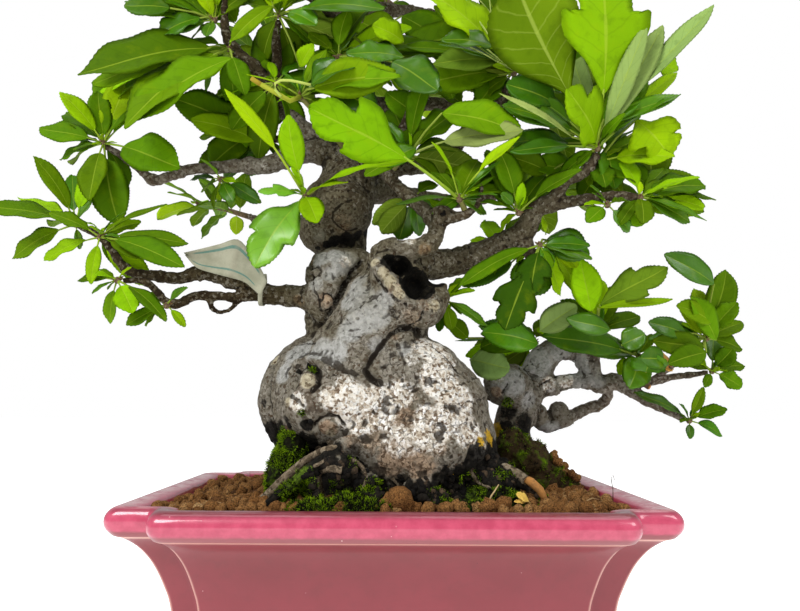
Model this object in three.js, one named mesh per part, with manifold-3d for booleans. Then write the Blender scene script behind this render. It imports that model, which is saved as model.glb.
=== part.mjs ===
// A crabapple bonsai in a glazed ceramic pot. Millimetres, +Z up.
// Origin: the middle of the pot's footprint, on the surface that it stands on; the front faces -Y.
import * as THREE from "three";
import { mergeVertices } from "three/addons/utils/BufferGeometryUtils.js";
import Module from "manifold-3d";

const wasm = await Module();
wasm.setup();

// ---- driving dimensions ----
const GAP = 0.35; // clearance between pieces that touch

const POT = {
  halfWidth: 170,
  halfDepth: 135,
  rimHeight: 105,
  notchX: 31, // how far the indented corner steps in along X at the rim
  notchY: 20,
  notchTaper: 0.36, // the notch shrinks by this much for each mm that the wall moves in
  cornerRadius: 8,
  innerCornerRadius: 6,
  footHeight: 10,
  footLength: 62,
  footWidth: 34,
  footInset: 44,
  drainX: 70,
  drainRadius: 12,
};
// [inset from the widest line, depth below the rim], from the inner lip over the bead and down the wall
const POT_OUTSIDE = [
  [20, 2], [9, 0], [2.5, 3], [0, 8], [4, 16.5], [7, 17.6], [18, 23.5], [29, 40], [35.5, 58], [40, 95],
];
const POT_INSIDE = [[46, 88], [40, 50], [22, 15]]; // from the inner floor up
const POT_FLOOR = POT.rimHeight - POT_INSIDE[0][1];

const SOIL = { rimDrop: 7, edgeInset: 24.5, crown: 104.5, shoulder: 102, shoulderScale: 0.62, crownScale: 0.25 };
const MESH = { side: 34, thickness: 0.8, pitch: 9, opening: 6.4 };
const CLIP = { wire: 1.6, span: 18, foot: 10, sides: 6 };
const TAG = { thickness: 0.6, loopInner: 8.2, loopWall: 0.9, loopWidth: 4 };
const BUD_RADIUS = 2.6;
const STALK = { halfWidth: 0.8, fraction: 0.22 };
const LEAF = { thickness: 0.8, widest: 0.45, arch: 0.07 };

// Swellings of the old base: [x, y, z, radius x, radius y, radius z].
const BASE_LOBES = [
  [-52, -24, 168, 44, 46, 46], // left shoulder
  [22, -38, 140, 47, 48, 40], // right lobe, low
  [12, -36, 173, 37, 42, 37], // right lobe, high
  [-8, -45, 134, 74, 46, 38], // belly
  [-15, 6, 142, 62, 42, 52], // back
  [0, -25, 103, 82, 60, 22], // root crown
  [62, -48, 112, 22, 30, 20], // root shoulder, right
  [100, 48, 112, 30, 28, 20], // root of the low right stem
  [86, 28, 180, 17, 17, 16], // burl on the low right stem
  [132, 55, 160, 7.5, 7.5, 8],
  [32, -55, 294, 7.5, 6.5, 7.5], // knuckle of the twisting branch
  [94, -45, 269, 5.5, 5.5, 5.5],
  [-34, -94, 127, 10, 8, 9],
];
const HOLLOW = [14, -74, 247, 15, 24, 13]; // the old wound in the front stem, an ellipsoid that is cut out
const KNOT_HOLE = [-67, -76, 180, 12, 9, 9];
const KNOT = [-67, -66, 177, 8, 8, 8];

// Stems, branches and surface roots: each is a list of [x, y, z, radius].
const WOOD = {
  rearStem: [
    [-50, -40, 212, 12], [-53, -35, 240, 17], [-46, -24, 268, 23], [-47, -10, 288, 25], [-45, 0, 308, 28],
    [-38, 2, 330, 23], [-36, 6, 350, 21], [-38, 10, 376, 19], [-38, 14, 405, 15.5], [-37, 16, 435, 12.5],
    [-35, 16, 462, 10.5], [-28, 12, 490, 8.5], [-12, 4, 515, 7], [4, -4, 538, 5.5], [10, -6, 562, 4], [6, 0, 588, 2.6],
  ],
  frontStem: [
    [-38, -50, 180, 38], [-12, -48, 216, 34], [-3, -46, 238, 31], [2, -43, 254, 23], [4, -38, 264, 14],
  ],
  hollowRim: [[-8, -66, 262, 8], [-6, -76, 247, 8], [2, -78, 233, 8], [16, -74, 229, 8], [27, -62, 237, 7], [29, -48, 248, 6]],
  rightLimb: [
    [-2, -38, 262, 13], [18, -30, 264, 12], [41, -26, 267, 10.5], [63, -30, 273, 10], [80, -35, 280, 9.6],
    [89, -40, 286, 8.5], [93, -46, 294, 7], [98, -50, 302, 6], [108, -55, 307, 5], [114, -58, 316, 4.4],
    [130, -60, 325, 3.8], [138, -61, 337, 3.2],
  ],
  rightLower: [[97, -50, 301, 6], [115, -55, 304, 4.6], [131, -60, 305, 3.9], [146, -66, 306, 3.5], [162, -70, 304, 3]],
  rightStub: [[87, -40, 283, 6.5], [94, -45, 270, 4.8]],
  twist: [
    [-14, -46, 258, 9], [-8, -56, 268, 8.5], [6, -60, 268, 7.5], [20, -60, 272, 6.8], [27, -56, 281, 6.2],
    [25, -50, 292, 5.6], [16, -45, 303, 5.2], [6, -39, 314, 4.8], [-4, -30, 327, 4.6], [-8, -22, 342, 4.2],
    [2, -26, 362, 3.4], [10, -34, 384, 2.4],
  ],
  twistSpur: [[32, -55, 292, 5], [46, -58, 294, 3.3], [55, -60, 301, 2.5], [58, -62, 315, 1.8]],
  centreRight: [
    [-30, 5, 346, 9], [2, -5, 344, 7], [32, -10, 349, 6.4], [51, -15, 366, 6], [69, -20, 380, 5.4], [80, -25, 395, 4.2],
    [85, -29, 404, 2.8],
  ],
  centreBack: [[-36, 14, 402, 9], [2, 20, 402, 6.5], [32, 25, 407, 5.4], [61, 30, 400, 4.6], [85, 35, 408, 3.8], [112, 48, 412, 2.8]],
  leftLow: [
    [-46, -28, 240, 10], [-63, -35, 239, 8.5], [-80, -38, 240, 7.5], [-92, -40, 241, 6.8], [-101, -42, 245, 6.4],
    [-114, -45, 249, 5.6], [-128, -45, 253, 5], [-137, -45, 254, 5.4], [-149, -48, 250, 4.4], [-166, -52, 251, 4],
    [-178, -55, 252, 3.7], [-187, -55, 258, 3.2], [-194, -55, 268, 3], [-203, -52, 277, 2.8], [-222, -46, 287, 2.4],
  ],
  leftLowUnder: [
    [-94, -42, 240, 5], [-110, -50, 237, 3.4], [-125, -55, 237, 3.2], [-136, -58, 236, 3.4], [-145, -60, 231, 3.4],
    [-152, -62, 231, 3], [-158, -64, 237, 2.8], [-166, -66, 244, 2.6], [-181, -68, 245, 2.2],
  ],
  leftLowDrop: [[-126, -55, 236, 2.6], [-124, -54, 228, 2], [-116, -50, 227, 1.7], [-108, -48, 234, 2]],
  leftUp: [
    [-44, 2, 352, 11], [-62, -4, 356, 9], [-81, -8, 350, 7.5], [-100, -12, 342, 6.8], [-117, -15, 341, 5.6],
    [-135, -18, 338, 4.6], [-153, -20, 336, 4.2], [-168, -21, 330, 4], [-178, -22, 327, 4.2], [-190, -22, 336, 3.4],
    [-204, -22, 346, 3], [-215, -23, 352, 2.6],
  ],
  topLeft: [
    [-42, 8, 362, 12], [-58, 4, 366, 9], [-74, 0, 376, 7.5], [-88, -5, 390, 6.4], [-98, -10, 404, 5.8], [-108, -13, 418, 5.4],
    [-121, -17, 428, 4.8], [-130, -19, 442, 4], [-132, -20, 458, 3.2], [-132, -20, 476, 2.2],
  ],
  topLeftInner: [[-97, -9, 404, 5.4], [-93, -10, 426, 4.4], [-94, -10, 446, 3.4], [-92, -12, 458, 2.6]],
  leftBack: [[-60, 6, 372, 6], [-84, 12, 372, 4], [-104, 12, 371, 2.6]],
  lowRight: [
    [44, 4, 108, 22], [70, 20, 114, 20], [92, 38, 124, 17], [92, 40, 146, 15], [100, 42, 166, 15], [111, 45, 184, 13.5], [119, 46, 201, 12.5],
    [134, 46, 210, 9.5], [148, 45, 207, 8.5], [155, 43, 193, 7.8], [163, 41, 182, 7.6], [175, 40, 184, 6.8],
    [187, 38, 177, 5.8], [201, 35, 168, 4.4], [216, 32, 160, 3.4], [226, 31, 155, 2.6],
  ],
  lowRightUpper: [[176, 40, 183, 5], [203, 40, 184, 3.6], [221, 42, 188, 3.1], [238, 44, 190, 2.7], [251, 43, 192, 2.3]],
  lowRightBridge: [[104, 45, 178, 10], [122, 44, 179, 7.6], [138, 42, 184, 6.6], [152, 41, 184, 6], [164, 40, 183, 5.4]],
  lowRightLoop: [
    [98, 42, 152, 11], [112, 50, 158, 8.5], [124, 55, 150, 7.6], [133, 55, 153, 7.4], [143, 57, 156, 5.6], [158, 58, 163, 4.8],
    [168, 57, 166, 4.6], [172, 50, 175, 4.4], [168, 43, 181, 4],
  ],
  lowRightTwig: [[186, 38, 180, 4], [190, 28, 192, 2.8], [188, 20, 200, 2.2]],
  lowRightShoot: [[160, 41, 188, 5], [160, 38, 205, 3], [160, 32, 220, 2.2]],
  lowRightBackTwig: [[120, 48, 204, 6], [118, 58, 210, 3.4], [115, 62, 214, 2.4]],
  lowRightTip: [[203, 38, 184, 3.2], [222, 30, 200, 2.6], [238, 20, 214, 2.2]],
  backRoot: [[60, 20, 112, 22], [96, 44, 112, 18], [124, 58, 110, 13], [142, 66, 104, 8]],
  backHigh: [[-38, 14, 398, 12], [-34, 42, 414, 8.5], [-26, 70, 424, 7], [-10, 98, 432, 5], [6, 120, 440, 3.4]],
  backLeft: [[-46, 6, 304, 13], [-72, 40, 310, 9], [-94, 74, 316, 6.6], [-118, 98, 324, 4.8], [-134, 112, 334, 3]],
  backRight: [[-30, 8, 332, 13], [4, 44, 336, 8.5], [36, 74, 340, 6.6], [72, 93, 346, 4.8], [96, 104, 354, 3]],
  crownLeft: [[-35, 16, 464, 7.5], [-62, 6, 484, 5.6], [-92, 0, 496, 4.4], [-120, -6, 503, 3]],
  crownLeftBack: [[-37, 17, 442, 8], [-58, 46, 458, 6], [-82, 76, 468, 4.6], [-104, 100, 476, 3]],
  crownRight: [[-16, 6, 510, 6], [18, -10, 516, 5], [52, -24, 519, 4.2], [86, -34, 522, 3]],
  crownRightBack: [[-31, 14, 482, 7], [2, 38, 494, 5.4], [36, 60, 502, 4.4], [68, 80, 506, 3]],
  crownFront: [[6, -5, 542, 4.6], [-2, -40, 546, 3.8], [-10, -76, 549, 2.6]],
  sweepRoot: [[-22, -86, 146, 5], [-32, -89, 141, 4], [-44, -94, 132, 3.4], [-58, -98, 121, 3.1], [-70, -100, 111, 2.8], [-80, -101, 102, 2.4], [-86, -101, 94, 2]],
  hookRoot: [[-42, -88, 130, 4], [-50, -95, 123, 2.6], [-46, -98, 110, 2.3], [-38, -100, 103, 1.9], [-30, -100, 98, 1.6]],
  cutRoot: [[54, -58, 124, 8], [68, -66, 121, 5], [82, -70, 116, 4], [92, -73, 109, 3.4], [98, -74, 103, 2.6]],
  frontRoots: [[10, -80, 116, 12], [24, -88, 106, 8], [34, -92, 98, 5]],
  blackRoot: [[-20, -84, 120, 10], [-14, -92, 108, 7], [-4, -96, 98, 4]],
};

// Leafy shoots. `at` is where the leaves spring from and `stem`, where there is one, reaches back to the wood.
// A leaf is [dx, dy, dz, width, face, look, stalk]: where its tip lies from `at`, its width, how far its upper
// face leans from the sky (0) to the front (90), its look, and the stalk's share of its length if not the usual.
// Looks: y young, m mature, d dark, p pale underside, l lobed, g lobed and glossy, u large pale underside, q grey-green.
const SHOOTS = {
  leftLowTip: {
    at: [-203, -54, 277],
    leaves: [
      [67, -30, -26, 16, 60, "m"], [44, -15, -18, 13, 55, "m"], [62, -5, -5, 12, 50, "m"], [42, 10, 26, 8, 40, "m"],
      [21, -10, 16, 6, 30, "d"], [-30, -12, 14, 13, 50, "m"], [-34, -6, -18, 13, 60, "y"], [4, -20, -36, 8, 70, "y"],
    ],
  },
  leftLowFar: {
    at: [-224, -45, 288],
    leaves: [
      [-52, -16, 8, 17, 50, "m"], [-48, 14, 22, 16, 40, "y"], [-44, 4, -24, 16, 60, "m"], [-20, -26, 40, 15, 50, "m"],
      [-14, 22, 42, 14, 40, "d"], [-30, 34, 6, 16, 40, "m"], [8, 16, 46, 13, 45, "y"],
    ],
  },
  leftLowUnder: {
    at: [-184, -69, 245],
    leaves: [
      [15, -10, -23, 14, 75, "y"], [-7, 10, -28, 10, 50, "m"], [38, -15, -29, 10, 40, "m"], [-12, -10, -11, 6, 30, "d"],
      [-30, 10, 1, 10, 50, "m"],
    ],
  },
  leftLowMid: {
    at: [-152, -65, 229],
    leaves: [[-24, -6, -14, 10, 55, "m"], [17, -12, 10, 7, 60, "d"], [-16, 12, 10, 8, 50, "m"], [12, 4, -14, 6, 40, "y"]],
  },
  leftUpTip: {
    at: [-216, -24, 354],
    leaves: [
      [64, -25, -26, 19, 75, "m", 0.3], [19, 10, 40, 12, 40, "m"], [-28, -15, 33, 13, 50, "y"], [19, -12, -64, 24, 80, "m"],
      [2, -25, -50, 18, 70, "m"], [-48, 0, 11, 17, 60, "m"], [25, 25, 36, 12, 30, "y"], [-34, 26, -8, 16, 50, "m"],
    ],
  },
  leftUpSpur: {
    at: [-131, -16, 330],
    leaves: [[-11, -20, 9, 9, 30, "d"], [12, -10, -20, 10, 75, "d"], [29, 10, -15, 11, 70, "d"], [-17, 15, -6, 11, 50, "m"]],
  },
  topLeftBig: {
    at: [-127, -23, 429],
    leaves: [
      [-91, -32, -32, 31, 55, "m", 0.12], [-58, -47, -80, 19, 60, "y", 0.12], [-53, 22, -30, 13, 40, "m"],
      [15, -8, -40, 15, 60, "m"], [-39, 27, 18, 11, 50, "m"],
    ],
  },
  topLeftSpur: {
    at: [-139, -22, 452],
    leaves: [
      [-61, -20, 3, 13, 45, "d"], [-32, -12, -17, 13, 80, "d", 0.2], [-3, -12, -19, 9, 80, "d"], [-24, -5, 34, 14, 40, "m"],
      [6, 10, 50, 13, 50, "y"], [-36, 20, 32, 12, 40, "y"], [-25, 18, -12, 11, 60, "m"],
    ],
  },
  topLeftFront: {
    at: [-92, -14, 461],
    leaves: [
      [-31, -25, -35, 8, 50, "y", 0.15], [33, -22, -12, 10, 60, "d"], [83, -20, -3, 11, 35, "d", 0.15],
      [72, -10, -40, 17, -50, "p", 0.15], [-15, 20, -30, 19, 60, "m", 0.1], [8, 28, -26, 21, 70, "m"],
      [-26, 10, 42, 16, 40, "m"], [19, -10, 42, 15, 50, "y"], [44, 20, 44, 14, 40, "m"],
    ],
  },
  topLeftStem: {
    at: [-92, -19, 404],
    leaves: [
      [-30, -7, -40, 19, 65, "m"], [19, 22, 28, 9, 30, "d"], [-30, 24, -45, 16, 60, "m"], [-53, 28, -4, 13, 50, "y"],
      [29, 22, -5, 13, -50, "p"],
    ],
  },
  leftBack: {
    at: [-107, 12, 371],
    leaves: [
      [-53, -15, 12, 15, 55, "m", 0.2], [-43, 10, -13, 19, 60, "y", 0.2], [-38, 22, 49, 20, 50, "m"],
      [13, 30, 34, 17, 50, "m"], [-11, 14, -25, 16, 60, "d"],
    ],
  },
  yellowShoot: {
    at: [-70, -42, 384],
    stem: [-40, -14, 356],
    leaves: [
      [-36, -16, 9, 3, 50, "y"], [72, -32, 1, 20, 55, "y", 0.1], [28, 6, 22, 15, 50, "d"], [-12, -6, 16, 6, 30, "d"],
      [17, 8, 40, 10, 60, "m"], [31, 8, -12, 15, 50, "m"],
    ],
  },
  darkMiddle: {
    at: [-45, -24, 423],
    stem: [-40, -2, 414],
    leaves: [
      [76, -30, -39, 15, 50, "d", 0.06], [8, -8, 34, 15, 50, "m"], [-23, 10, 24, 12, 60, "m"], [45, 8, 18, 17, 40, "m"],
      [25, 6, -27, 14, 50, "m"],
    ],
  },
  frontBright: {
    at: [-65, -42, 311],
    stem: [-56, -18, 322],
    leaves: [
      [-30, -22, -56, 30, 80, "g", 0.1], [11, -18, -24, 15, 80, "y", 0.1], [-30, -18, -3, 11, 60, "g", 0.15],
      [-11, -16, 53, 15, 75, "y", 0.3], [-54, -24, 68, 9, 60, "y", 0.42], [32, -26, 2, 11, 40, "y", 0.1],
      [76, -34, 15, 11, 45, "y", 0.12],
    ],
  },
  centreLobed: {
    at: [42, -65, 303],
    stem: [46, -60, 297],
    leaves: [
      [-98, -50, 45, 27, 65, "l", 0.4], [37, -28, 34, 10, 40, "y", 0.4], [-20, -22, 32, 10, 40, "y", 0.4],
      [-43, -14, -8, 7, 35, "d", 0.1], [26, -14, 22, 6, 50, "d", 0.15], [33, 14, 11, 13, 60, "m", 0.2], [25, -8, 1, 5, 30, "d"],
    ],
  },
  centreArch: {
    at: [8, -36, 343],
    stem: [-3, -31, 334],
    leaves: [
      [76, -43, 4, 16, 55, "y", 0.35], [41, 24, 45, 20, 60, "m"], [-17, -10, 21, 10, 50, "d"], [14, -8, 59, 14, 50, "m"],
      [-31, -14, -20, 12, 60, "m"],
    ],
  },
  centreUnder: {
    at: [12, -34, 313],
    leaves: [[-23, -6, -28, 15, -60, "p"], [-10, 12, -29, 15, 70, "d"], [17, 14, 14, 12, 60, "m"], [24, 18, -17, 10, 60, "y"]],
  },
  fruitSpur: {
    at: [86, -30, 409],
    leaves: [
      [-71, -35, 47, 34, 60, "y", 0.25], [-85, 16, 28, 18, 40, "m", 0.12], [-57, -22, 11, 10, 50, "d", 0.2],
      [-59, 10, 57, 18, 50, "m", 0.2], [-47, 12, -9, 12, 65, "m", 0.2], [-41, 15, 13, 9, -40, "p", 0.1],
      [-25, 12, 88, 17, 50, "m"], [27, 26, 86, 19, 50, "m"], [-8, 22, -37, 15, 50, "d"],
    ],
  },
  rightRosette: {
    at: [137, -64, 340],
    leaves: [
      [-62, -42, 98, 52, -65, "u", 0.32], [-3, -30, 107, 48, 75, "l", 0.3], [-27, -36, 23, 28, 80, "y", 0.12],
      [29, -24, 78, 10, 35, "p", 0.15], [44, -12, 84, 14, 30, "p", 0.15], [78, -16, 97, 13, 45, "m", 0.36],
      [62, 12, 61, 10, 55, "y", 0.4], [52, -18, 32, 9, 35, "d", 0.2], [14, -20, 17, 10, 45, "m", 0.1],
      [-62, -12, -7, 13, 65, "d", 0.35], [-65, -6, 27, 15, 60, "d", 0.3], [-60, 10, 49, 15, 50, "d", 0.3],
      [-14, 20, 83, 14, 60, "q", 0.3],
    ],
  },
  rightRosetteLow: {
    at: [140, -54, 334],
    leaves: [
      [44, -26, -5, 18, 65, "y", 0.25], [31, -10, -19, 19, 75, "m", 0.15], [1, -14, -23, 14, 80, "m", 0.1],
      [33, 10, 29, 7, 30, "d"], [38, 24, 50, 16, 40, "d"], [-12, 26, 50, 16, 50, "q"],
    ],
  },
  rightLowTip: {
    at: [163, -71, 304],
    leaves: [
      [-2, -10, -21, 13, 60, "m", 0.1], [39, -12, -19, 8, 50, "d", 0.1], [34, -16, 9, 8, 35, "y", 0.1],
      [40, 10, 5, 10, 30, "m"], [-7, 14, 32, 11, 70, "y", 0.2], [57, 14, 2, 12, 50, "m"], [25, 22, 27, 11, 50, "m"],
    ],
  },
  rightLowUnder: {
    at: [142, -66, 300],
    leaves: [[-16, -6, -14, 11, 70, "m"], [16, 4, -18, 10, 60, "d"], [-14, -10, 10, 7, 40, "d"]],
  },
  rightTwig: {
    at: [84, -54, 297],
    leaves: [
      [-14, -10, 40, 16, 70, "m", 0.3], [40, -18, 25, 14, 50, "m", 0.3], [-13, -6, 12, 8, 70, "d", 0.4],
      [-28, -14, 3, 7, 45, "m", 0.1], [-8, 24, 36, 12, 60, "m"],
    ],
  },
  rightFork: {
    at: [99, -50, 275],
    leaves: [
      [33, -12, -12, 12, 50, "d", 0.1], [30, 10, 0, 10, 45, "d"], [-9, -14, -37, 20, 80, "l", 0.15], [6, -6, -19, 8, 60, "m"],
      [-27, -16, -61, 24, 80, "l", 0.35], [-57, -8, -31, 12, 60, "m", 0.12], [14, 16, -22, 13, 50, "m"],
    ],
  },
  rightBackLeaf: {
    at: [77, -20, 278],
    leaves: [[-25, 14, 4, 14, 60, "y"], [-9, 20, 26, 14, 50, "y"], [21, 22, 31, 12, 60, "m"], [-22, 14, -20, 10, 60, "m"]],
  },
  hollowShoot: {
    at: [34, -38, 238],
    stem: [24, -42, 238],
    leaves: [[29, -6, -19, 7, 50, "d", 0.12], [6, 10, -20, 9, 60, "m"], [21, -4, 6, 6, 40, "y"], [-3, 14, -21, 7, 50, "d"]],
  },
  clusterShoot: {
    at: [160, 30, 223],
    leaves: [
      [52, -16, 51, 16, 50, "l", 0.25], [-14, -10, 57, 13, 65, "y", 0.2], [-35, 8, 73, 14, 60, "y", 0.3],
      [54, -14, 23, 7, 25, "y", 0.2], [-16, 12, 25, 16, 60, "m"], [-51, -12, -1, 17, 60, "y", 0.2], [25, 12, 12, 10, 50, "m"],
    ],
  },
  clusterGlossy: {
    at: [187, 17, 203],
    leaves: [
      [-81, -33, 12, 22, 60, "d", 0.22], [-58, -5, 25, 10, 40, "d", 0.1], [-7, -13, 19, 17, 50, "d", 0.1],
      [-14, -19, -25, 21, 75, "d", 0.1], [15, -13, -13, 14, 60, "d", 0.1], [-25, 13, 9, 13, 60, "m"], [-17, -2, -14, 12, 60, "y"],
    ],
  },
  clusterRight: {
    at: [240, 18, 217],
    leaves: [
      [-50, -16, -2, 12, 50, "d", 0.15], [-31, -10, -9, 9, 50, "y"], [-24, -10, 25, 17, 60, "y", 0.15],
      [-38, -14, 63, 11, 35, "m", 0.3], [24, -4, 28, 15, 50, "m"], [31, 8, -7, 14, 50, "m"], [1, 20, 42, 13, 50, "y"],
    ],
  },
  clusterUpperTip: {
    at: [254, 43, 193],
    leaves: [
      [-41, -18, 19, 12, 50, "y", 0.15], [15, -8, 19, 14, 50, "m"], [21, -6, -13, 14, 60, "m"], [-11, -10, -13, 7, 70, "m"],
      [10, 14, 33, 13, 40, "d"],
    ],
  },
  clusterLowTip: {
    at: [229, 30, 154],
    leaves: [
      [-47, -14, 21, 11, 45, "d", 0.15], [-2, -6, -14, 6, 70, "d"], [-11, -10, 13, 5, 40, "d"], [10, -6, 26, 8, 65, "m"],
      [27, -8, 9, 12, 50, "m"], [28, 6, -12, 11, 60, "d"],
    ],
  },
  clusterBack: {
    at: [115, 64, 216],
    leaves: [
      [-46, -16, 6, 14, 55, "d", 0.1], [-58, -12, -12, 15, 65, "y", 0.15], [-41, -4, -28, 18, 70, "p", 0.15],
      [-66, -6, 1, 4, 40, "d"], [11, 8, 22, 12, 60, "m"], [-14, 12, -24, 13, 70, "y"], [-19, 16, 19, 12, 50, "m"],
    ],
  },
};

// Longer leafy branchlets that fill the crown and the back: a stem from `from` to `to` with leaves round it.
const BRANCHLETS = {
  apex: { from: [6, 0, 586], to: [-4, 4, 610], leaves: 9, length: 50 },
  crownLeft: { from: [-118, -6, 502], to: [-176, -14, 512], leaves: 9, length: 56 },
  crownLeftMid: { from: [-64, 6, 486], to: [-70, -34, 530], leaves: 8, length: 56 },
  crownLeftBack: { from: [-102, 98, 475], to: [-136, 124, 486], leaves: 8, length: 54 },
  crownRight: { from: [84, -34, 521], to: [142, -44, 522], leaves: 9, length: 56 },
  crownRightMid: { from: [34, -17, 519], to: [44, 8, 566], leaves: 8, length: 56 },
  crownRightBack: { from: [66, 79, 505], to: [118, 104, 512], leaves: 8, length: 56 },
  crownFront: { from: [-9, -74, 549], to: [-20, -124, 548], leaves: 8, length: 56 },
  crownBack: { from: [0, 36, 494], to: [-24, 78, 534], leaves: 8, length: 56 },
  backHigh: { from: [5, 118, 440], to: [14, 132, 462], leaves: 9, length: 48 },
  backLeft: { from: [-133, 111, 333], to: [-184, 126, 348], leaves: 9, length: 56 },
  backRight: { from: [95, 103, 353], to: [150, 112, 366], leaves: 9, length: 56 },
  centreBack: { from: [110, 47, 412], to: [172, 46, 424], leaves: 9, length: 58 },
};

const MOSS = {
  moss_left: [[-68, -64, 118, 24, 26, 26], [-64, -74, 138, 15, 14, 18], [-84, -70, 104, 16, 22, 8]],
  moss_front: [[-44, -101, 102, 24, 10, 8], [-16, -101, 101, 20, 10, 9]],
  moss_right: [[46, -92, 102, 32, 13, 8], [66, -84, 106, 14, 12, 9]],
  moss_back: [[110, 22, 112, 24, 16, 17], [126, 40, 106, 22, 24, 12]],
};

const COLOURS = {
  glaze: { color: 0xa8384f, roughness: 0.25, metalness: 0 },
  soil: { color: 0x7a4f2c, roughness: 0.95, metalness: 0 },
  bark: { color: 0x9a9284, roughness: 0.85, metalness: 0 },
  moss: { color: 0x4e7a16, roughness: 1, metalness: 0 },
  leaf: { color: 0x5c9a14, roughness: 0.45, metalness: 0 },
  paper: { color: 0xd8cfae, roughness: 0.7, metalness: 0 },
  deadLeaf: { color: 0xb98a3c, roughness: 0.8, metalness: 0 },
  plastic: { color: 0x2b2f2b, roughness: 0.6, metalness: 0 },
  wire: { color: 0x8c8c90, roughness: 0.4, metalness: 1 },
};

// ---- solids ----
const vec = (p) => new THREE.Vector3(p[0], p[1], p[2]);

// A closed triangle list, turned to face out if its volume is negative, as a solid.
function solid(points, faces) {
  let volume = 0;
  for (const [a, b, c] of faces) volume += points[a].dot(points[b].clone().cross(points[c]));
  const outward = volume > 0 ? faces : faces.map(([a, b, c]) => [a, c, b]);
  return new wasm.Manifold(
    new wasm.Mesh({
      numProp: 3,
      vertProperties: new Float32Array(points.flatMap((p) => [p.x, p.y, p.z])),
      triVerts: new Uint32Array(outward.flat()),
    }),
  );
}

// A three.js geometry as a solid.
function solidOf(geometry) {
  geometry.deleteAttribute("normal");
  geometry.deleteAttribute("uv");
  const merged = mergeVertices(geometry, 1e-3);
  const position = merged.attributes.position;
  const points = [];
  for (let i = 0; i < position.count; i++) points.push(new THREE.Vector3().fromBufferAttribute(position, i));
  const faces = [];
  for (let i = 0; i < merged.index.count; i += 3) {
    const face = [0, 1, 2].map((k) => merged.index.array[i + k]);
    if (new Set(face).size === 3) faces.push(face);
  }
  return solid(points, faces);
}

function geometryOf(manifold) {
  const mesh = manifold.getMesh();
  const corners = [];
  for (const v of mesh.triVerts) corners.push(...mesh.vertProperties.slice(v * mesh.numProp, v * mesh.numProp + 3));
  const geometry = new THREE.BufferGeometry();
  geometry.setAttribute("position", new THREE.Float32BufferAttribute(corners, 3));
  geometry.computeVertexNormals();
  return geometry;
}

// Rings of equal length joined in order, closed at the start and either at the end or in a point.
function loft(rings, point = null) {
  const size = rings[0].length;
  const points = rings.flat();
  const faces = [];
  for (let r = 0; r + 1 < rings.length; r++) {
    for (let i = 0; i < size; i++) {
      const a = r * size + i;
      const b = r * size + ((i + 1) % size);
      faces.push([a, b, b + size], [a, b + size, a + size]);
    }
  }
  const close = (first, turn, apex) => {
    if (size === 3 && !apex) {
      faces.push(turn ? [first + 2, first + 1, first] : [first, first + 1, first + 2]);
      return;
    }
    const ring = points.slice(first, first + size);
    const middle = () => ring.reduce((sum, p) => sum.add(p), new THREE.Vector3()).divideScalar(size);
    const centre = points.push(apex ?? middle()) - 1;
    for (let i = 0; i < size; i++) {
      const a = first + i;
      const b = first + ((i + 1) % size);
      faces.push(turn ? [b, a, centre] : [a, b, centre]);
    }
  };
  close(0, true, null);
  close((rings.length - 1) * size, false, point);
  return solid(points, faces);
}

const union = (parts) => wasm.Manifold.union(parts);

// A tapering limb through [x, y, z, radius] points, `grow` thicker all round.
function limb(points, grow = 0, sides = 6) {
  const centres = points.map(vec);
  const last = centres.length - 1;
  const along = (i) => centres[Math.min(i + 1, last)].clone().sub(centres[Math.max(i - 1, 0)]).normalize();
  let side = new THREE.Vector3(0, -1, 0);
  if (Math.abs(along(0).y) > 0.9) side = new THREE.Vector3(1, 0, 0);
  const rings = centres.map((centre, i) => {
    const axis = along(i);
    side = side.clone().addScaledVector(axis, -side.dot(axis)).normalize();
    const across = axis.clone().cross(side);
    const radius = points[i][3] + grow;
    const end = (i === 0 ? -grow : 0) + (i === last ? grow : 0);
    return Array.from({ length: sides }, (_, k) => {
      const angle = (2 * Math.PI * k) / sides;
      return centre
        .clone()
        .addScaledVector(axis, end)
        .addScaledVector(side, radius * Math.cos(angle))
        .addScaledVector(across, radius * Math.sin(angle));
    });
  });
  return loft(rings);
}

function lump([x, y, z, rx, ry, rz], grow = 0, around = 12) {
  const geometry = new THREE.SphereGeometry(1, around, Math.round(around * 0.6));
  geometry.rotateX(Math.PI / 2);
  geometry.scale(rx + grow, ry + grow, rz + grow);
  geometry.translate(x, y, z);
  return solidOf(geometry);
}

// ---- pot ----
// One quarter of the indented outline, mirrored round: convex fillets beside a concave one.
function potOutline(inset, z) {
  const a = POT.halfWidth - inset;
  const b = POT.halfDepth - inset;
  const nx = POT.notchX - POT.notchTaper * inset;
  const ny = POT.notchY - POT.notchTaper * inset;
  const r = Math.min(POT.cornerRadius, ny * 0.45);
  const ri = Math.min(POT.innerCornerRadius, ny * 0.45);
  const arc = (cx, cy, radius, from, to, steps = [0, 0.5, 1]) =>
    steps.map((t) => {
      const angle = THREE.MathUtils.degToRad(from + (to - from) * t);
      return [cx + radius * Math.cos(angle), cy + radius * Math.sin(angle)];
    });
  const quarter = [
    ...arc(a - r, b - ny - r, r, 0, 90),
    ...arc(a - nx + ri, b - ny + ri, ri, 270, 180, [0, 1]),
    ...arc(a - nx - r, b - r, r, 0, 90),
  ];
  const mirrored = (sx, sy) => quarter.map(([x, y]) => [x * sx, y * sy]);
  const round = [
    ...quarter,
    ...mirrored(-1, 1).reverse(),
    ...mirrored(-1, -1),
    ...mirrored(1, -1).reverse(),
  ];
  return round.map(([x, y]) => new THREE.Vector3(x, y, z));
}

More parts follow.
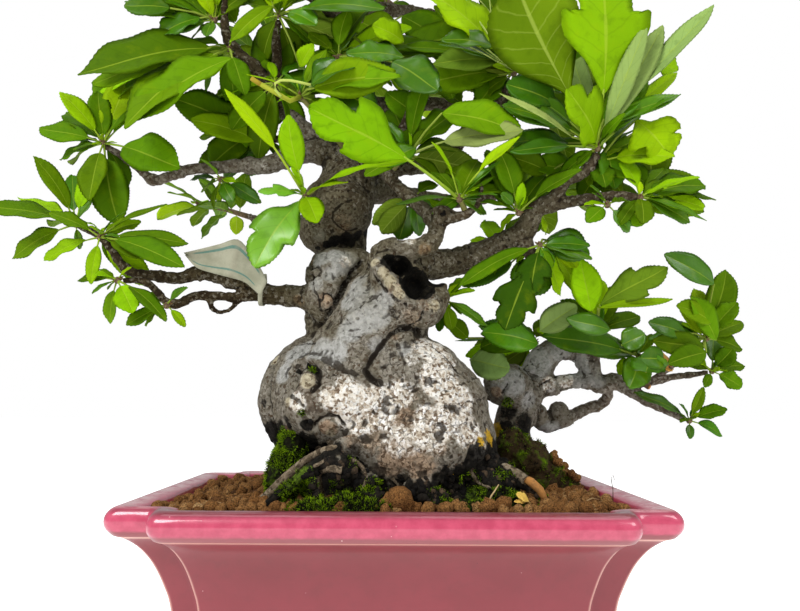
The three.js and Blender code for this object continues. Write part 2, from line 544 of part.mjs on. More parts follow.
function makePot() {
  const ring = ([inset, depth]) => potOutline(inset, POT.rimHeight - depth);
  const shell = loft([...POT_OUTSIDE].reverse().map(ring));
  const above = potOutline(POT_OUTSIDE[0][0], POT.rimHeight + 1);
  const cavity = loft([...POT_INSIDE.map(ring), ring(POT_OUTSIDE[0]), above]);
  const feet = [];
  for (const sx of [-1, 1]) {
    for (const sy of [-1, 1]) {
      const foot = new THREE.BoxGeometry(POT.footLength, POT.footWidth, POT.footHeight + 2);
      foot.translate(
        sx * (POT.halfWidth - POT.footInset - POT.footLength / 2),
        sy * (POT.halfDepth - POT.footInset - POT.footWidth / 2),
        (POT.footHeight + 2) / 2,
      );
      feet.push(solidOf(foot));
    }
  }
  const holes = [-1, 1].map((sx) => {
    const hole = new THREE.CylinderGeometry(POT.drainRadius, POT.drainRadius, 40, 16);
    hole.rotateX(Math.PI / 2);
    hole.translate(sx * POT.drainX, 0, POT_FLOOR);
    return solidOf(hole);
  });
  return union([shell, ...feet]).subtract(union([cavity, ...holes]));
}

// ---- drainage ----
function makeMesh(centreX) {
  const sheet = solidOf(new THREE.BoxGeometry(MESH.side, MESH.side, MESH.thickness));
  const openings = [-1, 0, 1].flatMap((i) =>
    [-1, 0, 1].map((j) => {
      const opening = new THREE.BoxGeometry(MESH.opening, MESH.opening, MESH.thickness * 2);
      opening.translate(i * MESH.pitch, j * MESH.pitch, 0);
      return solidOf(opening);
    }),
  );
  return sheet.subtract(union(openings)).translate(centreX, 0, POT_FLOOR + GAP + MESH.thickness / 2);
}

function makeClip(centreX) {
  const r = CLIP.wire / 2;
  const top = POT_FLOOR + GAP + MESH.thickness + GAP + r;
  const low = POT.footHeight - GAP - r;
  const leg = CLIP.span / 2;
  const path = [[-leg - CLIP.foot, low], [-leg, low], [-leg, top], [leg, top], [leg, low], [leg + CLIP.foot, low]];
  return limb(path.map(([x, z]) => [centreX + x, 0, z, r]), 0, CLIP.sides);
}

// ---- wood ----
const sidesFor = (radius) => (radius > 20 ? 10 : radius > 13 ? 8 : radius > 8.2 ? 6 : 5);

function makeWood(grow) {
  const limbs = Object.values(WOOD).map((points) => limb(points, grow, sidesFor(Math.max(...points.map((p) => p[3])))));
  const lobes = BASE_LOBES.map((lobe) => lump(lobe, grow, lobe[3] > 30 ? 12 : 7));
  const whole = union([...limbs, ...lobes]);
  return whole.subtract(lump(HOLLOW, -grow)).subtract(lump(KNOT_HOLE, -grow, 8)).add(lump(KNOT, grow, 8));
}

// ---- foliage ----
// A repeatable number from 0 to 1 for the k-th leaf.
const scatter = (k) => {
  const s = Math.sin(k * 12.9898) * 43758.5453;
  return s - Math.floor(s);
};

// A flat closed leaf on its stalk, from the bud to the tip: its sections have three corners, a flat top and a keel.
// Grown, they are boxes that clear it all round.
function leafSolid({ base, tip, width, facing, stalk }, grow) {
  const reach = tip.clone().sub(base);
  const length = reach.length();
  const axis = reach.clone().normalize();
  const normal = facing.clone().addScaledVector(axis, -facing.dot(axis)).normalize();
  const across = axis.clone().cross(normal);
  const section = (t, halfWidth) => {
    const centre = base.clone().addScaledVector(reach, t);
    centre.addScaledVector(normal, LEAF.arch * length * Math.sin(Math.PI * t));
    const corner = (x, z) => centre.clone().addScaledVector(across, x).addScaledVector(normal, z);
    const edge = halfWidth + grow;
    const top = LEAF.thickness * 0.4 + grow;
    const keel = -LEAF.thickness * 0.6 - grow;
    if (grow > 0) return [corner(edge, top), corner(-edge, top), corner(-edge, keel), corner(edge, keel)];
    return [corner(edge, top), corner(-edge, top), corner(0, keel)];
  };
  const widest = section(stalk + (1 - stalk) * LEAF.widest, width / 2);
  const foot = stalk > 0 ? [section(0, STALK.halfWidth), section(stalk, STALK.halfWidth)] : [section(0, STALK.halfWidth)];
  return loft([...foot, widest], tip.clone().addScaledVector(axis, grow * 3));
}

function shootLeaves({ at, leaves }) {
  const base = vec(at);
  return leaves.map(([dx, dy, dz, width, face, , stalk = STALK.fraction]) => {
    const lean = THREE.MathUtils.degToRad(face);
    const facing = new THREE.Vector3(0, -Math.sin(lean), Math.cos(lean));
    return { base, tip: base.clone().add(vec([dx, dy, dz])), width, facing, stalk };
  });
}

// Leaves round a stem at the golden angle, closing towards its tip; each faces the sky and a little outwards.
function branchletLeaves({ from, to, leaves, length }, seed) {
  const start = vec(from);
  const reach = vec(to).sub(start);
  const axis = reach.clone().normalize();
  const side = new THREE.Vector3(0, 0, 1).cross(axis).normalize();
  if (side.length() < 0.5) side.set(1, 0, 0);
  const across = axis.clone().cross(side);
  return Array.from({ length: leaves }, (_, k) => {
    const t = k / (leaves - 1);
    const turn = THREE.MathUtils.degToRad(137.5 * k + 40 * seed);
    const tilt = THREE.MathUtils.degToRad(82 - 48 * t + 14 * (scatter(seed * 31 + k) - 0.5));
    const size = length * (0.75 + 0.4 * scatter(seed * 17 + k + 5));
    const heading = axis
      .clone()
      .multiplyScalar(Math.cos(tilt))
      .addScaledVector(side, Math.sin(tilt) * Math.cos(turn))
      .addScaledVector(across, Math.sin(tilt) * Math.sin(turn));
    heading.z = heading.z * 0.7 - 0.06;
    heading.normalize();
    const base = start.clone().addScaledVector(reach, 0.2 + 0.8 * t);
    const facing = new THREE.Vector3(heading.x * 0.25, heading.y * 0.25, 1);
    const width = size * (0.34 + 0.1 * scatter(seed * 7 + k));
    return { base, tip: base.clone().addScaledVector(heading, size), width, facing, stalk: 0 };
  });
}

function makeFoliage(wood) {
  const plans = [
    ...Object.entries(SHOOTS).map(([name, shoot]) => {
      const bud = [...shoot.at, BUD_RADIUS + 0.8];
      const tail = shoot.stem ? [[...shoot.stem, 2.2], [...shoot.at, 1.8]] : null;
      return { name, leaves: shootLeaves(shoot), bud, tail };
    }),
    ...Object.entries(BRANCHLETS).map(([name, branchlet], i) => {
      const tail = [[...branchlet.from, 2.6], [...branchlet.to, 1.6]];
      return { name, leaves: branchletLeaves(branchlet, i + 1), bud: [...branchlet.to, BUD_RADIUS], tail };
    }),
  ];
  const build = ({ leaves, bud, tail }, grow) => {
    const [x, y, z, radius] = bud;
    const parts = leaves.map((leaf) => leafSolid(leaf, grow));
    parts.push(solidOf(new THREE.IcosahedronGeometry(radius + grow).translate(x, y, z)));
    if (tail) parts.push(limb(tail, grow, 5));
    return union(parts);
  };
  const placed = [];
  return plans.map((plan) => {
    let shoot = build(plan, 0).subtract(wood);
    const box = boxOf(shoot);
    for (const other of placed) {
      if (other.box.intersectsBox(box)) shoot = shoot.subtract(other.clear);
    }
    const clear = build(plan, GAP);
    placed.push({ box: boxOf(clear), clear });
    return { name: `shoot_${snake(plan.name)}`, body: largest(shoot) };
  });
}

function boxOf(body) {
  const { min, max } = body.boundingBox();
  return new THREE.Box3(vec(min), vec(max));
}

const snake = (name) => name.replace(/[A-Z]/g, (letter) => `_${letter.toLowerCase()}`);

// The biggest connected piece of a cut solid.
const largest = (cut) => cut.decompose().reduce((best, piece) => (piece.volume() > best.volume() ? piece : best));

// ---- soil, moss and small things ----
// The granular bed: it follows the pot's inside and mounds towards the trunk, `grow` higher on top.
function soilBed(grow) {
  const inner = POT_INSIDE.map(([inset, depth]) => potOutline(inset + GAP, POT.rimHeight - depth + GAP * 1.2));
  const rim = potOutline(SOIL.edgeInset, POT.rimHeight - SOIL.rimDrop + grow);
  const scaled = (scale, z) => rim.map((p) => new THREE.Vector3(p.x * scale, p.y * scale, z + grow));
  return loft([...inner, rim, scaled(SOIL.shoulderScale, SOIL.shoulder), scaled(SOIL.crownScale, SOIL.crown)]);
}

function makeSoil(wood) {
  const pockets = [-1, 1].map((sx) => {
    const pocket = new THREE.BoxGeometry(MESH.side + 2, MESH.side + 2, 8);
    pocket.translate(sx * POT.drainX, 0, POT_FLOOR);
    return solidOf(pocket);
  });
  return largest(soilBed(0).subtract(union([wood, ...pockets])));
}

function makeTag(wood) {
  const outline = [[-145, 266], [-109, 277], [-99, 266], [-88, 248], [-92, 237], [-104, 247], [-136, 256]];
  const frontY = -53.6;
  const strip = new THREE.Shape(outline.map(([x, z]) => new THREE.Vector2(x, z)));
  const plate = new THREE.ExtrudeGeometry(strip, { depth: TAG.thickness, bevelEnabled: false });
  plate.rotateX(Math.PI / 2);
  plate.translate(0, frontY, 0);
  const outer = TAG.loopInner + TAG.loopWall;
  const wall = [
    [TAG.loopInner, 0], [outer, 0], [outer, TAG.loopWidth], [TAG.loopInner, TAG.loopWidth], [TAG.loopInner, 0],
  ].map(([r, h]) => new THREE.Vector2(r, h - TAG.loopWidth / 2));
  const loop = new THREE.LatheGeometry(wall, 16);
  loop.scale(1.3, 1, 1);
  loop.rotateZ(Math.PI / 2);
  loop.translate(-93, -43, 243);
  return largest(union([solidOf(plate), solidOf(loop)]).subtract(wood));
}

// A dead leaf that lies clear of the wood.
const looseLeaf = (base, tip, width, facing, wood) =>
  largest(leafSolid({ base: vec(base), tip: vec(tip), width, facing: vec(facing), stalk: 0.15 }, 0).subtract(wood));

// ---- the object ----
const bonsai = new THREE.Group();
bonsai.name = "crabapple_bonsai";

function place(name, body, look) {
  const mesh = new THREE.Mesh(geometryOf(body), new THREE.MeshStandardMaterial(COLOURS[look]));
  mesh.name = name;
  bonsai.add(mesh);
}

const clearWood = makeWood(GAP);
place("pot", makePot(), "glaze");
place("soil", makeSoil(clearWood), "soil");
place("trunk", makeWood(0), "bark");
for (const [side, sx] of [["left", -1], ["right", 1]]) {
  place(`drain_mesh_${side}`, makeMesh(sx * POT.drainX), "plastic");
  place(`mesh_clip_${side}`, makeClip(sx * POT.drainX), "wire");
}
const ground = union([clearWood, soilBed(GAP)]);
for (const [name, cushions] of Object.entries(MOSS)) {
  const cushion = union(cushions.map((shape) => lump(shape, 0, 8)));
  place(name, largest(cushion.subtract(ground)), "moss");
}
for (const { name, body } of makeFoliage(clearWood)) place(name, body, "leaf");
place("plant_tag", makeTag(clearWood), "paper");
place("dry_leaf", looseLeaf([221, 38, 194], [203, 22, 204], 12, [0, -0.6, 1], clearWood), "deadLeaf");
place("fallen_leaf", looseLeaf([82, -92, 106], [73, -96, 112], 6, [0.3, -1, 0.5], ground), "deadLeaf");

export default bonsai;
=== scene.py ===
import math
import random
import re

import bpy
import numpy as np
from mathutils import Matrix, Vector
from mathutils.bvhtree import BVHTree
from mathutils.kdtree import KDTree


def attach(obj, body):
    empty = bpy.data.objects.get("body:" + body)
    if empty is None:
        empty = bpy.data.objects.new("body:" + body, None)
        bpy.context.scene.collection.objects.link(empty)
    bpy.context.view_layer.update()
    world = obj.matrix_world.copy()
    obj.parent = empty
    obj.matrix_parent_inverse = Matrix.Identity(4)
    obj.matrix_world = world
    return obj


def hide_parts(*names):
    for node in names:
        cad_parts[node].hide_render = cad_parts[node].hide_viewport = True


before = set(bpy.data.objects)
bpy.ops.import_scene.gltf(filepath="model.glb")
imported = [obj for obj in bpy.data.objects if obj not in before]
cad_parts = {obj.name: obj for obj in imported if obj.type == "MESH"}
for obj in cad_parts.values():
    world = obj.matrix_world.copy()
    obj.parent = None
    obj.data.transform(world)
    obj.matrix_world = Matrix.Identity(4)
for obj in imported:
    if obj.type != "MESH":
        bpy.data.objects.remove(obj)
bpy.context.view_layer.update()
mm = 0.001
print("frame loaded:", len(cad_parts), "nodes")


# small helpers
def deselect():
    for other in list(bpy.context.selected_objects):
        other.select_set(False)


def take(*pieces):
    deselect()
    for piece in pieces:
        piece.select_set(True)
    bpy.context.view_layer.objects.active = pieces[0]
    return pieces[0]


def applyAll(piece):
    take(piece)
    for modifier in list(piece.modifiers):
        bpy.ops.object.modifier_apply(modifier=modifier.name)
    return piece


def settle(piece):
    # the place goes into the mesh, so that the object stands at the origin
    take(piece)
    bpy.ops.object.transform_apply(location=True, rotation=True, scale=True)
    return piece


def joinPieces(pieces, name):
    take(*pieces)
    if len(pieces) > 1:
        bpy.ops.object.join()
    pieces[0].name = name
    pieces[0].data.name = name
    return pieces[0]


def addObject(name, data):
    made = bpy.data.objects.new(name, data)
    bpy.context.scene.collection.objects.link(made)
    return made


def meshPiece(name, points, faces):
    mesh = bpy.data.meshes.new(name)
    mesh.from_pydata([tuple(p) for p in points], [], [tuple(f) for f in faces])
    mesh.update()
    return addObject(name, mesh)


def readVectors(items, key):
    flat = np.empty(len(items) * 3, np.float32)
    items.foreach_get(key, flat)
    return flat.reshape(-1, 3).astype(float)


def readPoints(mesh):
    return readVectors(mesh.vertices, "co")


def readNormals(mesh):
    return readVectors(mesh.vertex_normals, "vector")


def writePoints(mesh, points):
    mesh.vertices.foreach_set("co", np.asarray(points, np.float32).ravel())
    mesh.update()


def paint(mesh, name, values):
    layer = mesh.attributes.get(name) or mesh.attributes.new(name, "FLOAT", "POINT")
    layer.data.foreach_set("value", np.asarray(values, np.float32))


def tubeOf(route, name, sides=3, steps=5, capped=True):
    # a curve through [x, y, z, radius] points in millimetres, with a round section, made a mesh
    curve = bpy.data.curves.new(name, "CURVE")
    curve.dimensions = "3D"
    curve.bevel_depth = mm
    curve.bevel_resolution = sides
    curve.resolution_u = steps
    curve.use_fill_caps = capped
    spline = curve.splines.new("BEZIER")
    spline.bezier_points.add(len(route) - 1)
    for point, (x, y, z, radius) in zip(spline.bezier_points, route):
        point.co = (x * mm, y * mm, z * mm)
        point.radius = radius
        point.handle_left_type = "AUTO"
        point.handle_right_type = "AUTO"
    take(addObject(name, curve))
    bpy.ops.object.convert(target="MESH")
    return bpy.context.view_layer.objects.active


def turnOutward(piece, weld=None):
    # faces point outward, once points closer than the weld distance are merged
    take(piece)
    bpy.ops.object.mode_set(mode="EDIT")
    bpy.ops.mesh.select_all(action="SELECT")
    if weld is not None:
        bpy.ops.mesh.remove_doubles(threshold=weld * mm)
    bpy.ops.mesh.normals_make_consistent(inside=False)
    bpy.ops.object.mode_set(mode="OBJECT")
    return piece


def finishPiece(piece, material, replaced=(), smooth=True):
    settle(piece)
    piece.data.materials.clear()
    piece.data.materials.append(material)
    if smooth:
        bpy.ops.object.shade_smooth()
    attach(piece, "root")
    if replaced:
        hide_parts(*replaced)
    deselect()
    return piece


def smoothstep(low, high, value):
    t = np.clip((value - low) / (high - low), 0, 1)
    return t * t * (3 - 2 * t)


# shader wiring
class Wire:
    # a socket that can be used in a Python expression; each operation adds a Math node
    def __init__(self, finish, socket):
        self.finish = finish
        self.socket = socket

    def math(self, operation, first, second=None):
        values = {0: first} if second is None else {0: first, 1: second}
        return self.finish.add("ShaderNodeMath", {"operation": operation}, values)

    def __add__(self, other):
        return self.math("ADD", self, other)

    def __radd__(self, other):
        return self.math("ADD", other, self)

    def __sub__(self, other):
        return self.math("SUBTRACT", self, other)

    def __rsub__(self, other):
        return self.math("SUBTRACT", other, self)

    def __mul__(self, other):
        return self.math("MULTIPLY", self, other)

    def __rmul__(self, other):
        return self.math("MULTIPLY", other, self)

    def __truediv__(self, other):
        return self.math("DIVIDE", self, other)

    def __pow__(self, other):
        return self.math("POWER", self, other)

    def __abs__(self):
        return self.math("ABSOLUTE", self)

    def clamp(self):
        return self.finish.add("ShaderNodeClamp", {}, {"Value": self}, "Result")

    def step(self, low, high):
        # 0 below low, 1 above high, smooth between
        sockets = {"Value": self, "From Min": low, "From Max": high}
        return self.finish.add("ShaderNodeMapRange", {"interpolation_type": "SMOOTHSTEP"}, sockets, "Result")


class Finish:
    def __init__(self, name):
        self.material = bpy.data.materials.new(name)
        self.material.use_nodes = True
        self.tree = self.material.node_tree
        self.tree.nodes.clear()
        self.place = self.add("ShaderNodeTexCoord", {}, {}, "Object")

    def add(self, kind, settings, sockets, output=0):
        node = self.tree.nodes.new(kind)
        for key, value in settings.items():
            if key == "stops":
                self.setStops(node.color_ramp, value)
            else:
                setattr(node, key, value)
        for key, value in sockets.items():
            socket = node.inputs[key]
            if isinstance(value, Wire):
                self.tree.links.new(value.socket, socket)
            else:
                socket.default_value = value
        return Wire(self, node.outputs[output])

    def setStops(self, ramp, stops):
        while len(ramp.elements) < len(stops):
            ramp.elements.new(0.5)
        for element, (at, colour) in zip(ramp.elements, stops):
            element.position = at
            element.color = (*colour, 1)

    def layer(self, name):
        return self.add("ShaderNodeAttribute", {"attribute_name": name}, {}, "Fac")

    def noise(self, size, detail=4, roughness=0.55, place=None, distortion=0):
        # size is that of one blotch, in millimetres
        sockets = {"Vector": place or self.place, "Scale": 1 / (size * mm), "Detail": detail}
        sockets.update({"Roughness": roughness, "Distortion": distortion})
        return self.add("ShaderNodeTexNoise", {}, sockets, "Fac")

    def cells(self, size, feature="F1", place=None, output="Distance", randomness=1):
        sockets = {"Vector": place or self.place, "Scale": 1 / (size * mm), "Randomness": randomness}
        return self.add("ShaderNodeTexVoronoi", {"feature": feature}, sockets, output)

    def warp(self, size, amount):
        # the places, pushed about by a noise of that size, in millimetres
        sockets = {"Vector": self.place, "Scale": 1 / (size * mm), "Detail": 2}
        push = self.add("ShaderNodeTexNoise", {}, sockets, "Color")
        centred = self.vector("SUBTRACT", push, (0.5, 0.5, 0.5))
        return self.vector("ADD", self.place, self.scaled(centred, amount * mm * 2))

    def vector(self, operation, first, second):
        return self.add("ShaderNodeVectorMath", {"operation": operation}, {0: first, 1: second}, "Vector")

    def scaled(self, value, factor):
        return self.add("ShaderNodeVectorMath", {"operation": "SCALE"}, {0: value, "Scale": factor}, "Vector")

    def stretch(self, scale, turn=(0, 0, 0), place=None):
        sockets = {"Vector": place or self.place, "Scale": scale, "Rotation": turn}
        return self.add("ShaderNodeMapping", {}, sockets, "Vector")

    def mix(self, factor, first, second, blend="MIX"):
        sockets = {0: factor, 6: self.colour(first), 7: self.colour(second)}
        return self.add("ShaderNodeMix", {"data_type": "RGBA", "blend_type": blend}, sockets, 2)

    def colour(self, value):
        return value if isinstance(value, Wire) else (*value, 1)

    def ramp(self, value, stops):
        return self.add("ShaderNodeValToRGB", {"stops": stops}, {"Fac": value}, "Color")

    def bump(self, height, distance, strength=1.0, normal=None):
        sockets = {"Height": height, "Distance": distance * mm, "Strength": strength}
        if normal:
            sockets["Normal"] = normal
        return self.add("ShaderNodeBump", {}, sockets, "Normal")

    def shader(self, settings):
        return self.add("ShaderNodeBsdfPrincipled", {}, settings, "BSDF")

    def part(self, axis, places=None):
        # one coordinate of the object's places, or of those given
        return self.add("ShaderNodeSeparateXYZ", {}, {"Vector": places or self.place}, axis)

    def done(self, surface):
        node = self.tree.nodes.new("ShaderNodeOutputMaterial")
        self.tree.links.new(surface.socket, node.inputs["Surface"])
        return self.material

    def plain(self, colour, roughness, normal, specular=None):
        settings = {"Base Color": colour, "Roughness": roughness, "Normal": normal}
        if specular is not None:
            settings["Specular IOR Level"] = specular
        return self.done(self.shader(settings))


# camera
view = {
    "place": (-2.5, -562.0, 165.5),  # millimetres
    "turn": 0.57,  # degrees to the right of straight ahead
    "rise": 7.4,
    "roll": 0.4,
    "lens": 33.975,
    "sensor": 36.0,
    "width": 800,  # pixels
    "height": 611,
}


def setCamera():
    data = bpy.data.cameras.new("camera")
    data.lens = view["lens"]
    data.sensor_width = view["sensor"]
    data.clip_start = 0.02
    camera = addObject("camera", data)
    turn = Matrix.Rotation(math.radians(-view["turn"]), 4, "Z")
    rise = Matrix.Rotation(math.radians(90 + view["rise"]), 4, "X")
    roll = Matrix.Rotation(math.radians(view["roll"]), 4, "Z")
    camera.matrix_world = Matrix.Translation(Vector(view["place"]) * mm) @ turn @ rise @ roll
    bpy.context.scene.camera = camera


def pixelRay(u, v):
    # the way from the camera to a pixel of the main view
    reach = view["lens"] / view["sensor"] * view["width"]
    turned = bpy.context.scene.camera.matrix_world.to_3x3()
    return turned @ Vector(((u - view["width"] / 2) / reach, (view["height"] / 2 - v) / reach, -1))


setCamera()

# floor and light
studio = {
    "floor": 14.0,
    "world": 0.5,
    "background": 1.0,
    "keyPower": 25,
    "fillPower": 11,
    "topPower": 12,
}


def softbox(name, place, target, size, power, tint=(1, 1, 1)):
    data = bpy.data.lights.new(name, "AREA")
    data.shape = "RECTANGLE"
    data.size = size[0]
    data.size_y = size[1]
    data.energy = power
    data.color = tint
    lamp = addObject(name, data)
    lamp.location = place
    lamp.rotation_euler = (Vector(target) - Vector(place)).to_track_quat("-Z", "Y").to_euler()


def setStudio():
    deselect()
    bpy.ops.mesh.primitive_plane_add(size=studio["floor"], location=(0, 0, 0))
    floor = bpy.context.view_layer.objects.active
    floor.name = "studio_floor"
    finish = Finish("floor_white")
    surface = finish.shader({"Base Color": (0.86, 0.86, 0.86, 1), "Roughness": 0.9,
                             "Emission Color": (1, 1, 1, 1), "Emission Strength": 0.66})
    floor.data.materials.append(finish.done(surface))
    world = bpy.data.worlds.new("studio")
    bpy.context.scene.world = world
    world.use_nodes = True
    nodes = world.node_tree.nodes
    nodes.clear()
    links = world.node_tree.links
    light = nodes.new("ShaderNodeBackground")
    light.inputs["Strength"].default_value = studio["world"]
    seen = nodes.new("ShaderNodeBackground")
    seen.inputs["Color"].default_value = (1, 1, 1, 1)
    seen.inputs["Strength"].default_value = studio["background"]
    path = nodes.new("ShaderNodeLightPath")
    blend = nodes.new("ShaderNodeMixShader")
    output = nodes.new("ShaderNodeOutputWorld")
    links.new(path.outputs["Is Camera Ray"], blend.inputs[0])
    links.new(light.outputs[0], blend.inputs[1])
    links.new(seen.outputs[0], blend.inputs[2])
    links.new(blend.outputs[0], output.inputs["Surface"])
    softbox("key_left", (-1.0, -1.15, 1.35), (0, 0, 0.2), (0.9, 0.6), studio["keyPower"])
    softbox("fill_right", (1.15, -1.0, 1.2), (0, 0, 0.2), (0.8, 0.6), studio["fillPower"])
    softbox("top", (0.1, 0.25, 1.7), (0, 0, 0.2), (1.6, 1.2), studio["topPower"])
    bpy.context.scene.view_settings.view_transform = "Standard"
    bpy.context.scene.view_settings.look = "None"


setStudio()
print("camera and studio set")


# pot
pot = {
    "halfWidth": 170,
    "halfDepth": 135,
    "rimHeight": 105,
    "notchX": 31,
    "notchY": 20,
    "notchTaper": 0.36,
    "beadCorner": 8,
    "wallCorner": 2.4,
    "innerCorner": 6,
    "inside": [(46, 88), (44.5, 74), (41.5, 56), (36, 40), (28, 26), (22.4, 15), (20.9, 7), (20.4, 3.6)],
    "lip": [(20, 2.4), (19.2, 1.5), (17, 0.9), (13.6, 0.35), (11, 0.05)],
    "bead": {"inset": 8.6, "depth": 8.4, "radius": 8.5, "from": 0, "to": 138, "steps": 14},
    "wall": [(4.6, 16.6), (6.6, 17.5), (9.4, 18.4), (18, 23.5), (24.5, 31.5), (29, 40), (33, 50), (35.5, 58),
             (38.4, 75), (40, 95)],
    "foot": {"length": 62, "width": 34, "height": 10, "inset": 44, "edge": 2.5},
    "drain": {"x": 70, "radius": 12},
    "glazeLine": 87.5,  # height of the thin pale line under the bead
}


def throughPoints(points, steps):
    # a Catmull-Rom curve, `steps` points for each span
    points = [np.array(p, float) for p in points]
    padded = [2 * points[0] - points[1], *points, 2 * points[-1] - points[-2]]
    curve = []
    for a, b, c, d in zip(padded, padded[1:], padded[2:], padded[3:]):
        for k in range(steps):
            t = k / steps
            curve.append(0.5 * (2 * b + (c - a) * t + (2 * a - 5 * b + 4 * c - d) * t * t
                                + (3 * b - a - 3 * c + d) * t ** 3))
    return [*curve, points[-1]]


def potNotch(inset):
    return pot["notchX"] - pot["notchTaper"] * inset, pot["notchY"] - pot["notchTaper"] * inset


def potOutline(inset):
    # the indented rectangle, from the middle of its right side round to the same place
    a = pot["halfWidth"] - inset
    b = pot["halfDepth"] - inset
    nx, ny = potNotch(inset)
    sharpness = float(smoothstep(8, 20, inset))
    r = min(pot["beadCorner"] * (1 - sharpness) + pot["wallCorner"] * sharpness, ny * 0.45)
    ri = min(pot["innerCorner"], ny * 0.5)

    def straight(start, end, count):
        return [(start[0] + (end[0] - start[0]) * k / count, start[1] + (end[1] - start[1]) * k / count)
                for k in range(count)]

    def arc(x, y, radius, first, last, count=7):
        turns = [math.radians(first + (last - first) * k / count) for k in range(count)]
        return [(x + radius * math.cos(turn), y + radius * math.sin(turn)) for turn in turns]

    quarter = straight((a, 0), (a, b - ny - r), 9)
    quarter += arc(a - r, b - ny - r, r, 0, 90)
    quarter += straight((a - r, b - ny), (a - nx + ri, b - ny), 3)
    quarter += arc(a - nx + ri, b - ny + ri, ri, 270, 180)
    quarter += straight((a - nx, b - ny + ri), (a - nx, b - r), 2)
    quarter += arc(a - nx - r, b - r, r, 0, 90)
    quarter += straight((a - nx - r, b), (0, b), 12)
    left = [(-x, y) for x, y in reversed(quarter[1:])]
    upper = quarter + [(0, b)] + left
    lower = [(x, -y) for x, y in reversed(upper[1:])]
    return upper + [(-a, 0)] + lower


def ringPiece(name, rings):
    # rings of points skinned in order, with both ends filled
    size = len(rings[0])
    faces = [tuple(range(size)), tuple(range(len(rings) * size - 1, (len(rings) - 1) * size - 1, -1))]
    for r in range(len(rings) - 1):
        for k in range(size):
            here, beside = r * size + k, r * size + (k + 1) % size
            faces.append((here, here + size, beside + size, beside))
    piece = meshPiece(name, [p for ring in rings for p in ring], faces)
    return turnOutward(piece, 0.001)


def cut(piece, tool, operation, solver="EXACT"):
    modifier = piece.modifiers.new(operation.lower(), "BOOLEAN")
    modifier.object = tool
    modifier.operation = operation
    modifier.solver = solver
    applyAll(piece)
    bpy.data.objects.remove(tool)
    return piece


def makePot():
    bead = pot["bead"]
    turns = [math.radians(bead["from"] + (bead["to"] - bead["from"]) * k / bead["steps"])
             for k in range(bead["steps"] + 1)]
    profile = throughPoints(pot["inside"], 2)
    profile += pot["lip"]
    inset, depth, radius = bead["inset"], bead["depth"], bead["radius"]
    profile += [(inset - radius * math.sin(turn), depth - radius * math.cos(turn)) for turn in turns]
    profile += throughPoints(pot["wall"], 3)
    rings = [[(x * mm, y * mm, (pot["rimHeight"] - depth) * mm) for x, y in potOutline(inset)]
             for inset, depth in profile]
    body = ringPiece("glazed_pot", rings)
    foot = pot["foot"]
    overlap = 2
    for sx in (-1, 1):
        for sy in (-1, 1):
            deselect()
            bpy.ops.mesh.primitive_cube_add(size=1)
            block = bpy.context.view_layer.objects.active
            block.scale = (foot["length"] * mm, foot["width"] * mm, (foot["height"] + overlap) * mm)
            block.location = (
                sx * (pot["halfWidth"] - foot["inset"] - foot["length"] / 2) * mm,
                sy * (pot["halfDepth"] - foot["inset"] - foot["width"] / 2) * mm,
                (foot["height"] + overlap) / 2 * mm,
            )
            settle(block)
            edges = block.modifiers.new("edges", "BEVEL")
            edges.width = foot["edge"] * mm
            edges.segments = 3
            applyAll(block)
            cut(body, block, "UNION")
        deselect()
        bpy.ops.mesh.primitive_cylinder_add(vertices=40, radius=pot["drain"]["radius"] * mm, depth=0.04)
        hole = bpy.context.view_layer.objects.active
        hole.location = (sx * pot["drain"]["x"] * mm, 0, (pot["rimHeight"] - pot["inside"][0][1]) * mm)
        settle(hole)
        cut(body, hole, "DIFFERENCE")
    paintPot(body, profile)
    return finishPiece(body, glazeFinish(), ["pot"], smooth=False)


def paintPot(body, profile):
    # where the glaze runs thin: the upright edges of the panels and the line under the bead
    points = readPoints(body.data) / mm
    outer = [(depth, inset) for inset, depth in profile[len(pot["inside"]) * 2:]]
    wall = [pair for pair in outer if pair[0] > 16]
    inset = np.interp(pot["rimHeight"] - points[:, 2], [d for d, _ in wall], [i for _, i in wall])
    x, y = np.abs(points[:, 0]), np.abs(points[:, 1])
    nx, ny = potNotch(inset)
    a, b = pot["halfWidth"] - inset, pot["halfDepth"] - inset
    away = np.minimum(np.hypot(x - a, y - b + ny), np.hypot(x - a + nx, y - b))
    onWall = smoothstep(88.5, 86, points[:, 2])
    edge = (1 - smoothstep(0.7, 2.2, away)) * onWall
    line = 1 - smoothstep(0.35, 1.0, np.abs(points[:, 2] - pot["glazeLine"]))
    outside = (x > a - nx - 6) | (y > b - ny - 6)
    paint(body.data, "thin", np.maximum(edge, line * outside))
    bpy.ops.object.shade_smooth_by_angle(angle=math.radians(50))


